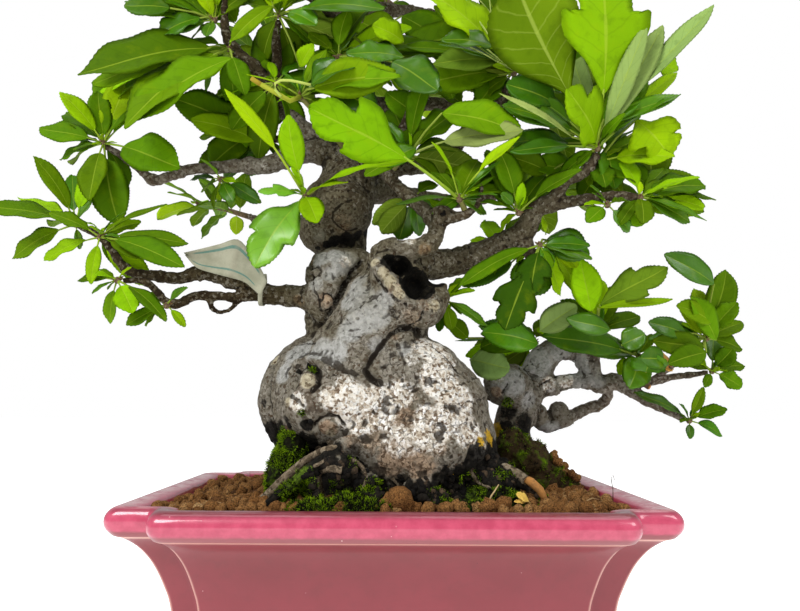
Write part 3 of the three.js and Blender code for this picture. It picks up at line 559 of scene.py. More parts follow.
def glazeFinish():
    f = Finish("rose_glaze")
    height = f.part("Z") / mm
    cloud = f.noise(40, 3)
    mottle = f.noise(7, 5, 0.6)
    fine = f.noise(1.6, 4, 0.6)
    crimson = f.mix(mottle.step(0.3, 0.7), (0.42, 0.036, 0.088), (0.52, 0.062, 0.125))
    body = f.mix(cloud.step(0.3, 0.7), (0.200, 0.036, 0.042), (0.235, 0.041, 0.050))
    body = f.mix(mottle.step(0.45, 0.75) * 0.35, body, (0.155, 0.036, 0.038))
    lower = height.step(92, 20)
    body = f.mix(lower * 0.55, body, (0.27, 0.038, 0.055))
    under = height.step(84, 90)
    body = f.mix(under * 0.7, body, (0.30, 0.090, 0.105))
    beadMask = (height + (mottle - 0.5) * 1.6).step(90.2, 92.4)
    colour = f.mix(beadMask, body, crimson)
    # the top of the lip is pale and worn
    top = (height + (cloud - 0.5) * 2.2).step(103.4, 104.9)
    streak = f.noise(3.2, 6, 0.7, f.stretch((0.25, 0.25, 1)))
    front = f.part("Y").step(-0.106, -0.116)
    top = top * (1 - front * 0.9)
    # painted shade: the top of the lip at the front is darkened, where the top light falls strongly
    colour = f.mix(height.step(100.8, 104.6) * front * 0.88, colour, (0.15, 0.014, 0.028))
    colour = f.mix(top * streak.step(0.30, 0.62) * 0.85, colour, (0.72, 0.46, 0.48))
    thin = f.layer("thin")
    colour = f.mix((thin * (0.65 + mottle * 0.5)).clamp(), colour, (0.66, 0.36, 0.30))
    pits = f.cells(9, randomness=1)
    pinhole = (1 - pits.step(0.035, 0.06)) * f.noise(25, 2).step(0.52, 0.6)
    dark = f.cells(4.2)
    speck = (1 - dark.step(0.05, 0.09)) * f.noise(14, 2, place=f.stretch((1, 1, 0.6))).step(0.6, 0.7)
    colour = f.mix(pinhole * 0.8, colour, (0.85, 0.62, 0.60))
    colour = f.mix(speck * 0.75, colour, (0.05, 0.02, 0.02))
    rough = 0.30 + fine * 0.10 + top * 0.22
    bump = f.bump(fine * 0.35 + mottle - pinhole * 0.8 - speck * 0.6, 0.16, 0.35)
    surface = f.shader({
        "Base Color": colour,
        "Roughness": rough,
        "Normal": bump,
        "Coat Weight": 0.12 + beadMask * 0.75,
        "Coat Roughness": 0.10,
        "Specular IOR Level": 0.35,
    })
    return f.done(surface)


makePot()
print("pot made")

# soil and drainage
soil = {
    "seed": 5,
    "pitch": 6.4,
    "smallest": 2.3,  # granule radius
    "largest": 4.9,
    "kinds": 7,
    "halfX": 148,
    "halfY": 113,
    "topLimit": 96.5,  # lower than this is the trunk's own socket
}


def soilFinish():
    f = Finish("soil_bed")
    colour = f.ramp(f.noise(3, 5), [(0.3, (0.035, 0.018, 0.010)), (0.7, (0.13, 0.065, 0.03))])
    bump = f.bump(f.noise(2.2, 6, 0.7), 1.2)
    return f.plain(colour, 0.95, bump)


def granuleFinish():
    f = Finish("fired_clay_granules")
    tone = f.layer("tone")
    grain = f.noise(0.9, 5, 0.7)
    patch = f.noise(3.4, 3, 0.6)
    colour = f.ramp((tone * 0.8 + patch * 0.35).clamp(), [
        (0.05, (0.040, 0.021, 0.011)), (0.25, (0.150, 0.063, 0.020)), (0.5, (0.31, 0.138, 0.040)),
        (0.75, (0.43, 0.215, 0.070)), (1.0, (0.60, 0.36, 0.15)),
    ])
    colour = f.mix(grain.step(0.58, 0.38) * 0.8, colour, (0.045, 0.019, 0.007))
    pores = f.cells(1.3)
    bump = f.bump(grain * 1.6 + pores.step(0.1, 0.5) * 0.8 + patch, 1.0)
    return f.plain(colour, 0.95, bump, 0.15)


def granuleKinds():
    kinds = []
    for kind in range(soil["kinds"]):
        deselect()
        bpy.ops.mesh.primitive_ico_sphere_add(subdivisions=2, radius=1)
        piece = bpy.context.view_layer.objects.active
        texture = bpy.data.textures.new("granule_lumps", "CLOUDS")
        texture.noise_scale = 0.62
        lumps = piece.modifiers.new("lumps", "DISPLACE")
        lumps.texture = texture
        lumps.strength = 0.95
        shift = 3.7 * kind
        for vertex in piece.data.vertices:
            vertex.co += Vector((shift, 0, 0))
        applyAll(piece)
        points = readPoints(piece.data) - np.array((shift, 0, 0))
        points -= points.mean(0)
        points *= np.array((1.0, 0.86 + 0.05 * (kind % 3), 0.78 + 0.04 * (kind % 4)))
        faces = [tuple(face.vertices) for face in piece.data.polygons]
        kinds.append((points, faces))
        bpy.data.objects.remove(piece)
    return kinds


def turnMatrix(dice):
    turns = [dice.uniform(-math.pi, math.pi) for _ in range(3)]
    x, y, z = (Matrix.Rotation(turn, 3, axis) for turn, axis in zip(turns, "XYZ"))
    return np.array(x @ y @ z)


class Heap:
    # many small copies gathered into one mesh, each with its own points and a tone
    def __init__(self):
        self.points = []
        self.faces = []
        self.tones = []
        self.count = 0

    def put(self, points, faces, tone):
        self.points.append(points)
        self.faces += [tuple(k + self.count for k in face) for face in faces]
        self.tones.append(np.full(len(points), tone) if np.isscalar(tone) else tone)
        self.count += len(points)

    def piece(self, name, layer="tone"):
        made = meshPiece(name, np.concatenate(self.points), self.faces)
        paint(made.data, layer, np.concatenate(self.tones))
        return made


def treeOf(piece):
    corners = [v.co.copy() for v in piece.data.vertices]
    return BVHTree.FromPolygons(corners, [tuple(p.vertices) for p in piece.data.polygons])


soilTree = treeOf(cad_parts["soil"])


def groundAt(x, y):
    # height of the bed in millimetres, or None inside the trunk or past the edge
    hit = soilTree.ray_cast(Vector((x * mm, y * mm, 0.3)), Vector((0, 0, -1)))[0]
    if hit is None or hit.z / mm < soil["topLimit"]:
        return None
    return hit.z / mm


def makeGranules():
    dice = random.Random(soil["seed"])
    kinds = granuleKinds()
    heap = Heap()
    rows = int(2 * soil["halfY"] / soil["pitch"])
    columns = int(2 * soil["halfX"] / soil["pitch"])
    for row in range(rows):
        for column in range(columns):
            for tier in (0, 1):
                x = -soil["halfX"] + (column + dice.random() + 0.5 * (row % 2)) * soil["pitch"]
                y = -soil["halfY"] + (row + dice.random()) * soil["pitch"]
                skip = dice.random()
                size = soil["smallest"] + (soil["largest"] - soil["smallest"]) * dice.random() ** 1.7
                tone = min(1, max(0, dice.gauss(0.52, 0.20)))
                kind = dice.randrange(len(kinds))
                turn = turnMatrix(dice)
                if tier == 1 and skip > 0.33:
                    continue
                z = groundAt(x, y)
                if z is None:
                    continue
                points, faces = kinds[kind]
                lift = size * (0.15 + 0.75 * tier)
                placed = points @ turn.T * size + np.array((x, y, z + lift))
                heap.put(placed * mm, faces, tone)
    piece = heap.piece("soil_granules")
    print("granules:", len(heap.tones), "triangles:", len(heap.faces))
    return finishPiece(piece, granuleFinish())


def plasticFinish():
    f = Finish("mesh_plastic")
    colour = f.mix(f.noise(4), (0.02, 0.025, 0.02), (0.045, 0.05, 0.04))
    bump = f.bump(f.noise(0.8), 0.1)
    return f.plain(colour, 0.55 + f.noise(3) * 0.1, bump)


def wireFinish():
    f = Finish("clip_wire")
    colour = f.mix(f.noise(3), (0.45, 0.45, 0.47), (0.62, 0.62, 0.64))
    bump = f.bump(f.noise(0.6), 0.05)
    return f.done(f.shader({"Base Color": colour, "Metallic": 1.0, "Roughness": 0.32 + f.noise(2) * 0.2,
                            "Normal": bump}))


def dress(node, material):
    # a CAD node that stays keeps its mesh and gets a finish
    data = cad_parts[node].data
    data.materials.clear()
    data.materials.append(material)


dress("soil", soilFinish())
plastic, wire = plasticFinish(), wireFinish()
for side in ("left", "right"):
    dress("drain_mesh_" + side, plastic)
    dress("mesh_clip_" + side, wire)
makeGranules()
print("soil made")


# wood
baseLobes = [
    [-52, -24, 168, 44, 46, 46],  # left shoulder
    [22, -38, 140, 47, 48, 40],  # right lobe, low
    [12, -36, 173, 37, 42, 37],  # right lobe, high
    [6, -46, 142, 56, 46, 34],  # belly
    [-15, 6, 142, 62, 42, 52],  # back
    [4, -24, 104, 82, 60, 23],  # root crown
    [62, -48, 112, 22, 30, 20],  # root shoulder, right
    [100, 48, 112, 30, 28, 20],  # root of the low right stem
    [86, 28, 180, 17, 17, 16],  # burl on the low right stem
    [132, 55, 160, 7.5, 7.5, 8],
    [32, -55, 294, 7.5, 6.5, 7.5],  # knuckle of the twisting branch
    [94, -45, 269, 5.5, 5.5, 5.5],
    [-34, -94, 127, 10, 8, 9],
]

woodLimbs = {
    "rearStem": [
        [-50, -30, 206, 10], [-52, -20, 232, 15], [-44, -2, 262, 19], [-42, 3, 282, 20],
        [-45, -2, 308, 26],
        [-38, 2, 330, 23], [-36, 6, 350, 21], [-38, 10, 376, 19], [-38, 14, 405, 15.5],
        [-37, 16, 435, 12.5],
        [-35, 16, 462, 10.5], [-28, 12, 490, 8.5], [-12, 4, 515, 7], [4, -4, 538, 5.5], [10, -6, 562, 4],
        [6, 0, 588, 2.6],
    ],
    "frontStem": [
        [-50, -25, 150, 38], [-32, -44, 182, 37], [-12, -48, 214, 34], [-4, -46, 236, 31],
        [1, -43, 254, 23], [4, -38, 264, 14],
    ],
    "hollowRim": [
        [-8, -62, 262, 7], [-8, -70, 248, 10], [1, -70, 232, 13], [15, -66, 226, 13], [26, -57, 235, 10],
        [29, -46, 248, 6],
    ],
    "rightLimb": [
        [-2, -38, 262, 13], [18, -30, 264, 12], [41, -26, 267, 10.5], [63, -30, 273, 10],
        [80, -35, 280, 9.6],
        [89, -40, 286, 8.5], [93, -46, 294, 7], [98, -50, 302, 6], [108, -55, 307, 5],
        [114, -58, 316, 4.4],
        [130, -60, 325, 3.8], [138, -61, 337, 3.2],
    ],
    "rightLower": [
        [97, -50, 301, 6], [115, -55, 304, 4.6], [131, -60, 305, 3.9], [146, -66, 306, 3.5],
        [162, -70, 304, 3],
    ],
    "rightStub": [[87, -40, 283, 6.5], [94, -45, 270, 4.8]],
    "twist": [
        [-14, -46, 258, 9], [-8, -56, 268, 8.5], [6, -60, 268, 7.5], [20, -60, 272, 6.8],
        [27, -56, 281, 6.2],
        [25, -50, 292, 5.6], [16, -45, 303, 5.2], [6, -39, 314, 4.8], [-4, -30, 327, 4.6],
        [-8, -22, 342, 4.2],
        [2, -26, 362, 3.4], [10, -34, 384, 2.4],
    ],
    "twistSpur": [[32, -55, 292, 5], [46, -58, 294, 3.3], [55, -60, 301, 2.5], [58, -62, 315, 1.8]],
    "centreRight": [
        [-30, 5, 346, 9], [2, -5, 344, 7], [32, -10, 349, 6.4], [51, -15, 366, 6], [69, -20, 380, 5.4],
        [80, -25, 395, 4.2],
        [85, -29, 404, 2.8],
    ],
    "centreBack": [
        [-36, 14, 402, 9], [2, 20, 402, 6.5], [32, 25, 407, 5.4], [61, 30, 400, 4.6], [85, 35, 408, 3.8],
        [112, 48, 412, 2.8],
    ],
    "leftLow": [
        [-46, -28, 240, 10], [-63, -35, 239, 8.5], [-80, -38, 240, 7.5], [-92, -40, 241, 6.8],
        [-101, -42, 245, 6.4],
        [-114, -45, 249, 5.6], [-128, -45, 253, 5], [-137, -45, 254, 5.4], [-149, -48, 250, 4.4],
        [-166, -52, 251, 4],
        [-178, -55, 252, 3.7], [-187, -55, 258, 3.2], [-194, -55, 268, 3], [-203, -52, 277, 2.8],
        [-222, -46, 287, 2.4],
    ],
    "leftLowUnder": [
        [-94, -42, 240, 5], [-110, -50, 237, 3.4], [-125, -55, 237, 3.2], [-136, -58, 236, 3.4],
        [-145, -60, 231, 3.4],
        [-152, -62, 231, 3], [-158, -64, 237, 2.8], [-166, -66, 244, 2.6], [-181, -68, 245, 2.2],
    ],
    "leftLowDrop": [
        [-126, -55, 236, 2.6], [-124, -54, 228, 2], [-116, -50, 227, 1.7], [-108, -48, 234, 2],
    ],
    "leftUp": [
        [-44, 2, 352, 11], [-62, -4, 356, 9], [-81, -8, 350, 7.5], [-100, -12, 342, 6.8],
        [-117, -15, 341, 5.6],
        [-135, -18, 338, 4.6], [-153, -20, 336, 4.2], [-168, -21, 330, 4], [-178, -22, 327, 4.2],
        [-190, -22, 336, 3.4],
        [-204, -22, 346, 3], [-215, -23, 352, 2.6],
    ],
    "topLeft": [
        [-42, 8, 362, 12], [-58, 4, 366, 9], [-74, 0, 376, 7.5], [-88, -5, 390, 6.4],
        [-98, -10, 404, 5.8], [-108, -13, 418, 5.4],
        [-121, -17, 428, 4.8], [-130, -19, 442, 4], [-132, -20, 458, 3.2], [-132, -20, 476, 2.2],
    ],
    "topLeftInner": [
        [-97, -9, 404, 5.4], [-93, -10, 426, 4.4], [-94, -10, 446, 3.4], [-92, -12, 458, 2.6],
    ],
    "leftBack": [[-60, 6, 372, 6], [-84, 12, 372, 4], [-104, 12, 371, 2.6]],
    "lowRight": [
        [44, 4, 108, 22], [70, 20, 114, 20], [92, 38, 124, 17], [92, 40, 146, 15], [100, 42, 166, 15],
        [111, 45, 184, 13.5], [119, 46, 201, 12.5],
        [134, 46, 210, 9.5], [148, 45, 207, 8.5], [155, 43, 193, 7.8], [163, 41, 182, 7.6],
        [175, 40, 184, 6.8],
        [187, 38, 177, 5.8], [201, 35, 168, 4.4], [216, 32, 160, 3.4], [226, 31, 155, 2.6],
    ],
    "lowRightUpper": [
        [176, 40, 183, 5], [203, 40, 184, 3.6], [221, 42, 188, 3.1], [238, 44, 190, 2.7],
        [251, 43, 192, 2.3],
    ],
    "lowRightBridge": [
        [104, 45, 178, 10], [122, 44, 179, 7.6], [138, 42, 184, 6.6], [152, 41, 184, 6],
        [164, 40, 183, 5.4],
    ],
    "lowRightLoop": [
        [98, 42, 152, 11], [112, 50, 158, 8.5], [124, 55, 150, 7.6], [133, 55, 153, 7.4],
        [143, 57, 156, 5.6], [158, 58, 163, 4.8],
        [168, 57, 166, 4.6], [172, 50, 175, 4.4], [168, 43, 181, 4],
    ],
    "lowRightTwig": [[186, 38, 180, 4], [190, 28, 192, 2.8], [188, 20, 200, 2.2]],
    "lowRightShoot": [[160, 41, 188, 5], [160, 38, 205, 3], [160, 32, 220, 2.2]],
    "lowRightBackTwig": [[120, 48, 204, 6], [118, 58, 210, 3.4], [115, 62, 214, 2.4]],
    "lowRightTip": [[203, 38, 184, 3.2], [222, 30, 200, 2.6], [238, 20, 214, 2.2]],
    "backRoot": [[60, 20, 112, 22], [96, 44, 112, 18], [124, 58, 110, 13], [142, 66, 104, 8]],
    "backHigh": [
        [-38, 14, 398, 12], [-34, 42, 414, 8.5], [-26, 70, 424, 7], [-10, 98, 432, 5],
        [6, 120, 440, 3.4],
    ],
    "backLeft": [
        [-46, 6, 304, 13], [-72, 40, 310, 9], [-94, 74, 316, 6.6], [-118, 98, 324, 4.8],
        [-134, 112, 334, 3],
    ],
    "backRight": [
        [-30, 8, 332, 13], [4, 44, 336, 8.5], [36, 74, 340, 6.6], [72, 93, 346, 4.8], [96, 104, 354, 3],
    ],
    "crownLeft": [[-35, 16, 464, 7.5], [-62, 6, 484, 5.6], [-92, 0, 496, 4.4], [-120, -6, 503, 3]],
    "crownLeftBack": [[-37, 17, 442, 8], [-58, 46, 458, 6], [-82, 76, 468, 4.6], [-104, 100, 476, 3]],
    "crownRight": [[-16, 6, 510, 6], [18, -10, 516, 5], [52, -24, 519, 4.2], [86, -34, 522, 3]],
    "crownRightBack": [[-31, 14, 482, 7], [2, 38, 494, 5.4], [36, 60, 502, 4.4], [68, 80, 506, 3]],
    "crownFront": [[6, -5, 542, 4.6], [-2, -40, 546, 3.8], [-10, -76, 549, 2.6]],
    "sweepRoot": [
        [-22, -86, 146, 5], [-32, -89, 141, 4], [-44, -94, 132, 3.4], [-58, -98, 121, 3.1],
        [-70, -100, 111, 2.8], [-80, -101, 102, 2.4], [-86, -101, 94, 2],
    ],
    "hookRoot": [
        [-42, -88, 130, 4], [-50, -95, 123, 2.6], [-46, -98, 110, 2.3], [-38, -100, 103, 1.9],
        [-30, -100, 98, 1.6],
    ],
    "cutRoot": [
        [54, -58, 124, 8], [68, -66, 121, 5], [82, -70, 116, 4], [92, -73, 109, 3.4],
        [98, -74, 103, 2.6],
    ],
    "frontRoots": [[10, -80, 116, 12], [24, -88, 106, 8], [34, -92, 98, 5]],
    "blackRoot": [[-20, -84, 120, 10], [-14, -92, 108, 7], [-4, -96, 98, 4]],
}


# swellings that only show up close: [x, y, z, radius x, radius y, radius z]
woodLumps = [
    [-45, -9, 309, 27, 29, 26],  # the bulge that hangs over the waist
    [-45, -30, 256, 19, 19, 20],  # the dome under it, which runs down to a tip
    [-49, -40, 238, 14, 14, 18],
    [-31, -27, 263, 17, 17, 13],
    [-54, -8, 294, 19, 22, 19],
    [-24, -46, 194, 36, 38, 34],  # foot of the front stem
    [17, -40, 159, 47, 48, 44],
    [12, -50, 184, 34, 34, 27],
    [-34, -44, 166, 48, 46, 34],
    [14, -46, 136, 54, 46, 30],
    [92, 34, 178, 15, 15, 19],
]
# what is cut out of the wood, the same way
woodHollows = [
    [14, -74, 245, 13, 26, 13],
    [0, -70, 256, 12, 17, 8],
    [27, -64, 252, 12, 20, 9],
    [-32, -36, 283, 17, 20, 4.5],  # the dark gap under the bulge
]
# marks on the bark, each by its places in the main view, in pixels from the top left of 800 by 611.
# creases: width and depth in millimetres, and a depth below 0 raises a ridge
woodCreases = {
    "besideRightLobe": (4.6, 4.6, [(430, 337), (421, 333), (411, 329), (401, 329), (392, 334), (385, 341),
                                   (379, 350), (372, 360), (366, 370), (371, 377), (380, 383)]),
    "stemJoin": (3.5, 4, [(320, 326), (330, 312), (338, 298), (344, 286), (352, 272), (362, 260),
                          (371, 250)]),
    "leftCrack": (2.4, 3.2, [(283, 345), (276, 360), (271, 375), (269, 392), (271, 412), (276, 430),
                             (281, 448)]),
    "leftStrip": (4, -1.6, [(279, 350), (270, 368), (264, 388), (264, 410), (268, 432), (273, 450)]),
    "shoulderFold": (6, 1.1, [(291, 396), (304, 404), (321, 411), (341, 414)]),
    "shoulderRidge": (8, -1.6, [(286, 366), (298, 362), (318, 364), (340, 374), (352, 388)]),
    "shoulderWrinkle": (2, 1.1, [(284, 343), (294, 345), (306, 343), (315, 344)]),
    "knotRing": (3.4, 4.6, [(297, 379), (300, 371), (307, 366), (315, 368), (320, 375), (318, 384),
                            (312, 390)]),
    "knotBrow": (5, -2.6, [(292, 374), (298, 364), (308, 359), (318, 361), (326, 369)]),
    "scarRim": (3, 2.8, [(313, 426), (319, 419), (328, 416), (338, 418), (343, 424)]),
    "pit": (5, 6, [(305, 424), (308, 427)]),
    "rearCrack": (2.2, 2.6, [(312, 262), (313, 278), (317, 296), (321, 312)]),
    "curledKnot": (2.2, 2.4, [(321, 300), (324, 293), (331, 293), (335, 300), (331, 308), (324, 312)]),
    "smallKnotRing": (1.8, 1.6, [(313, 269), (317, 266), (321, 270), (319, 276), (314, 277)]),
    "targetRing": (1.8, 1.6, [(352, 200), (341, 204), (333, 212), (332, 219), (337, 226), (347, 232),
                              (358, 229)]),
    "lobeCrack": (2, 1.8, [(431, 346), (440, 352), (450, 362), (458, 372)]),
    "stemCrack": (2.4, 2.2, [(423, 312), (420, 320), (411, 326)]),
    "frontWrinkle": (3, 1.2, [(398, 345), (404, 362), (402, 380)]),
    "burlCrack": (2.4, 3, [(508, 384), (502, 393), (497, 405)]),
    "elbowCrack": (2.2, 2.4, [(515, 358), (520, 366), (521, 376)]),
    "bridgeCrack": (2.2, 2.4, [(540, 386), (548, 381), (558, 375)]),
    "rimCrease": (2.4, 2.4, [(367, 268), (374, 277), (384, 289), (395, 299), (406, 304)]),
    "upperSeam": (2.2, 2, [(368, 180), (365, 193), (371, 203), (375, 216)]),
    "bellyDimple": (9, 1.8, [(452, 408), (458, 412)]),
    "bellyDimpleLow": (9, 1.6, [(441, 428), (438, 440)]),
    "bellyFold": (7, 1.6, [(352, 436), (368, 440), (384, 437)]),
}
# warts: (u, v, radius in millimetres, how deep it sinks)
woodWarts = [
    (372, 257, 5.5, 2), (377, 265, 6, 2), (383, 272, 5.5, 1.5), (389, 279, 6, 1.5), (394, 287, 5.5, 1),
    (400, 294, 5, 1), (386, 266, 4, 1), (397, 279, 3.6, 1), (402, 300, 4.5, 2), (411, 304, 4, 2),
    (421, 303, 4, 1.5), (426, 294, 4.6, 1), (433, 298, 5, 2), (437, 307, 5, 2.5), (308, 380, 6.6, 1.2),
    (303, 388, 4, 1.5), (329, 304, 5, 1.5), (316, 272, 4, 1.5), (443, 213, 5.5, 1), (450, 219, 4, 1),
    (437, 219, 4, 1), (436, 210, 3.4, 1), (306, 424, 3, 1), (384, 244, 4, 2), (395, 240, 3.5, 2),
    (408, 243, 3.5, 2), (418, 240, 3, 1.5), (488, 396, 5, 2), (531, 370, 4, 1.5), (527, 250, 4.5, 2),
    (515, 244, 4, 2), (466, 262, 3.5, 1.5), (591, 151, 4, 1.5), (258, 168, 3.5, 1.5), (183, 178, 3, 1),
    (236, 55, 3.6, 1.2), (150, 176, 2.6, 1), (470, 235, 2.5, 1), (349, 212, 3.4, 1.2),
]
# stains: layer, then (u, v, radius in millimetres, strength)
woodStains = {
    "white": [
        (350, 405, 18, 1), (378, 408, 18, 1), (330, 398, 10, 0.7), (440, 380, 17, 1), (456, 402, 17, 1),
        (468, 432, 15, 0.9), (430, 430, 20, 0.8), (400, 395, 14, 0.7), (345, 384, 10, 0.5),
        (298, 402, 9, 0.8), (448, 358, 10, 0.6), (415, 358, 9, 0.4), (400, 440, 18, 0.7),
        (480, 452, 8, 0.8), (345, 262, 7, 0.5), (497, 378, 8, 0.5), (548, 384, 8, 0.9), (565, 380, 8, 0.9),
        (430, 348, 14, 1), (446, 344, 10, 0.9), (325, 210, 9, 0.3), (410, 240, 7, 0.6), (480, 262, 7, 0.3),
        (265, 165, 8, 0.3), (362, 420, 14, 0.9),
    ],
    "tan": [
        (328, 429, 7.5, 1), (375, 440, 12, 0.5), (398, 455, 16, 0.7), (420, 465, 14, 0.6),
        (388, 468, 10, 0.6), (455, 411, 6, 0.8), (438, 445, 9, 0.6), (335, 415, 5, 0.5), (300, 300, 6, 0.5),
        (326, 300, 9, 0.6), (425, 300, 9, 0.5), (395, 290, 8, 0.5), (412, 318, 10, 0.45),
        (496, 392, 6, 0.9), (343, 225, 12, 0.4), (425, 250, 6, 0.7), (410, 395, 9, 0.4), (395, 335, 6, 0.5),
        (560, 398, 8, 0.4), (330, 212, 10, 0.3), (312, 262, 5, 0.5), (470, 445, 6, 0.5),
        (404, 420, 13, 0.65), (352, 440, 8, 0.5),
    ],
    # black crust at the foot, and painted shade in the ring round the knot and in the gap under the bulge
    "soot": [
        (271, 428, 7, 0.8), (279, 452, 12, 0.9), (296, 468, 14, 1), (320, 474, 14, 1), (345, 482, 14, 1),
        (366, 492, 13, 1), (384, 502, 12, 1), (482, 472, 13, 1), (466, 492, 13, 1), (440, 502, 12, 1),
        (414, 506, 11, 1), (500, 482, 14, 1), (350, 460, 8, 0.9), (306, 425, 5, 1), (264, 402, 5, 0.5),
        (268, 440, 9, 0.9), (335, 450, 7, 0.8), (515, 455, 16, 1), (535, 470, 16, 1), (505, 430, 10, 0.8),
        (300, 444, 6, 0.7), (287, 420, 5, 0.6), (443, 213, 3, 1), (299, 372, 2.4, 1), (318, 370, 3, 1),
        (310, 366, 2.6, 1), (490, 455, 8, 0.6), (508, 412, 10, 0.6), (525, 425, 12, 0.7), (358, 470, 9, 1),
        (455, 486, 9, 1), (495, 500, 14, 1), (335, 241, 6, 1), (346, 238, 7, 1), (357, 235, 6, 1),
        (366, 232, 5, 0.9), (327, 245, 4.5, 1), (318, 248, 3, 0.8), (372, 232, 4, 0.7), (352, 243, 4, 0.8),
    ],
    "green": [
        (288, 436, 9, 1), (281, 450, 10, 1), (291, 460, 9, 1), (275, 470, 9, 1), (303, 452, 7, 0.8),
        (312, 370, 4, 0.9), (520, 440, 10, 0.6), (530, 455, 10, 0.6), (300, 480, 12, 0.8),
        (375, 495, 10, 0.6), (350, 497, 10, 0.7), (470, 495, 10, 0.6), (505, 400, 6, 0.5),
        (398, 494, 6, 0.3),
    ],
    "lichen": [(496, 430, 7, 1), (489, 437, 6, 1), (481, 441, 4, 0.8), (494, 423, 5, 0.9),
               (452, 474, 3, 0.5)],
    "cream": [
        (275, 360, 5, 1), (308, 380, 7, 1), (383, 272, 6, 0.8), (390, 281, 6, 0.9), (399, 293, 6, 0.9),
        (426, 294, 5, 0.8), (434, 305, 6, 0.7), (374, 262, 5, 0.7), (287, 402, 5, 0.6), (330, 433, 5, 0.7),
    ],
    "root": [
        (266, 498, 5, 1), (274, 490, 5, 1), (282, 481, 5, 1), (290, 472, 5, 1), (298, 465, 5, 1),
        (308, 457, 5, 1), (320, 450, 5, 0.9), (332, 444, 5, 0.8), (508, 468, 4, 1), (517, 474, 4, 1),
        (526, 480, 4, 1), (534, 486, 4, 1),
    ],
    # where the stems are as pale as the base
    "bare": [
        (345, 300, 24, 1), (330, 262, 17, 1), (318, 288, 15, 1), (395, 302, 20, 1), (428, 306, 15, 0.9),
        (365, 330, 22, 1), (380, 266, 12, 0.9), (405, 250, 10, 0.5), (545, 360, 24, 1), (518, 378, 20, 1),
        (590, 378, 20, 1), (500, 385, 14, 1), (550, 430, 15, 0.9), (575, 350, 16, 1),
    ],
    "clean": [
        (300, 352, 14, 1), (284, 374, 9, 0.9), (365, 315, 16, 1), (352, 298, 12, 1), (345, 262, 12, 1),
        (384, 300, 9, 0.8), (320, 350, 12, 0.8), (335, 352, 12, 0.8), (405, 350, 7, 0.7),
        (376, 345, 8, 0.6), (318, 235, 8, 0.5), (330, 275, 8, 0.7), (560, 366, 8, 0.8), (580, 385, 8, 0.8),
        (358, 282, 10, 0.9), (320, 258, 9, 0.9), (335, 255, 8, 0.9), (316, 284, 8, 0.6), (597, 380, 9, 0.9),
        (535, 362, 18, 0.9), (515, 382, 15, 0.8), (500, 384, 11, 0.8), (585, 368, 15, 0.9),
        (550, 432, 12, 0.9), (560, 350, 12, 0.9), (528, 400, 10, 0.7), (350, 330, 12, 0.9),
        (380, 318, 9, 0.8), (366, 296, 9, 0.9),
    ],
}
wood = {
    "voxel": 1.5,
    "blendTop": (236, 200),  # the smoothing fades out between these heights
    "blend": 26,  # rounds of smoothing that grow the swellings together
    "settle": 3,
    "triangles": 190000,
}


def addBall(x, y, z, rx, ry, rz, segments=26, rings=16):
    deselect()
    bpy.ops.mesh.primitive_uv_sphere_add(segments=segments, ring_count=rings, radius=mm)
    ball = bpy.context.view_layer.objects.active
    ball.location = (x * mm, y * mm, z * mm)
    ball.scale = (rx, ry, rz)
    return settle(ball)


def remesh(piece, voxel):
    modifier = piece.modifiers.new("grow_together", "REMESH")
    modifier.mode = "VOXEL"
    modifier.voxel_size = voxel * mm
    return applyAll(piece)


def limbGuide():
    # points along every limb, with the limb's radius and the distance from its start
    places, radii, travel = [], [], []
    for route in woodLimbs.values():
        curve = throughPoints(route, 8)
        gone = 0
        for here, before in zip(curve, [curve[0], *curve]):
            gone += float(np.linalg.norm(here[:3] - before[:3]))
            places.append(here[:3])
            radii.append(here[3])
            travel.append(gone)
    guide = KDTree(len(places))
    for k, place in enumerate(places):
        guide.insert(Vector(place), k)
    guide.balance()
    return guide, np.array(radii), np.array(travel)


def girthOf(points):
    # radius of the limb that each point belongs to, and how far along it lies
    guide, radii, travel = limbGuide()
    nearest = np.array([guide.find(Vector(p))[1] for p in points / mm])
    radius = radii[nearest]
    for x, y, z, rx, ry, rz in baseLobes:
        if rx > 20:
            inside = (((points / mm - (x, y, z)) / (rx, ry, rz)) ** 2).sum(1)
            radius = np.where(inside < 1.35, np.maximum(radius, 34), radius)
    return radius, travel[nearest]


def group(piece, name, weights):
    layer = piece.vertex_groups.get(name) or piece.vertex_groups.new(name=name)
    steps = np.clip((np.asarray(weights) * 20).round().astype(int), 0, 20)
    for level in range(1, 21):
        members = np.nonzero(steps == level)[0]
        if len(members):
            layer.add(members.tolist(), level / 20, "REPLACE")


def groupAll(piece):
    group(piece, "all", np.ones(len(piece.data.vertices)))


def displace(piece, name, kind, size, strength, weights, **settings):
    texture = bpy.data.textures.new(name, kind)
    texture.noise_scale = size * mm
    for key, value in settings.items():
        setattr(texture, key, value)
    modifier = piece.modifiers.new(name, "DISPLACE")
    modifier.texture = texture
    modifier.texture_coords = "LOCAL"
    modifier.mid_level = 0.5
    modifier.strength = strength * mm
    modifier.vertex_group = weights


def neighbourMean(mesh, values, rounds):
    # the average over each point's neighbours, repeated
    pairs = np.empty(len(mesh.edges) * 2, np.int32)
    mesh.edges.foreach_get("vertices", pairs)
    a, b = pairs.reshape(-1, 2).T
    size = len(mesh.vertices)
    degree = np.bincount(a, minlength=size) + np.bincount(b, minlength=size)
    degree = np.maximum(degree, 1)
    for _ in range(rounds):
        columns = []
        for column in values.T:
            total = np.bincount(a, column[b], size) + np.bincount(b, column[a], size)
            columns.append(total / degree)
        values = np.array(columns).T
    return values


def seenPlace(tree, u, v):
    # the place and its normal that the main view shows at a pixel, or None past the edge
    start = bpy.context.scene.camera.matrix_world.translation
    hit, normal, _, _ = tree.ray_cast(start, pixelRay(u, v).normalized())
    return (np.array(hit), np.array(normal)) if hit else (None, None)


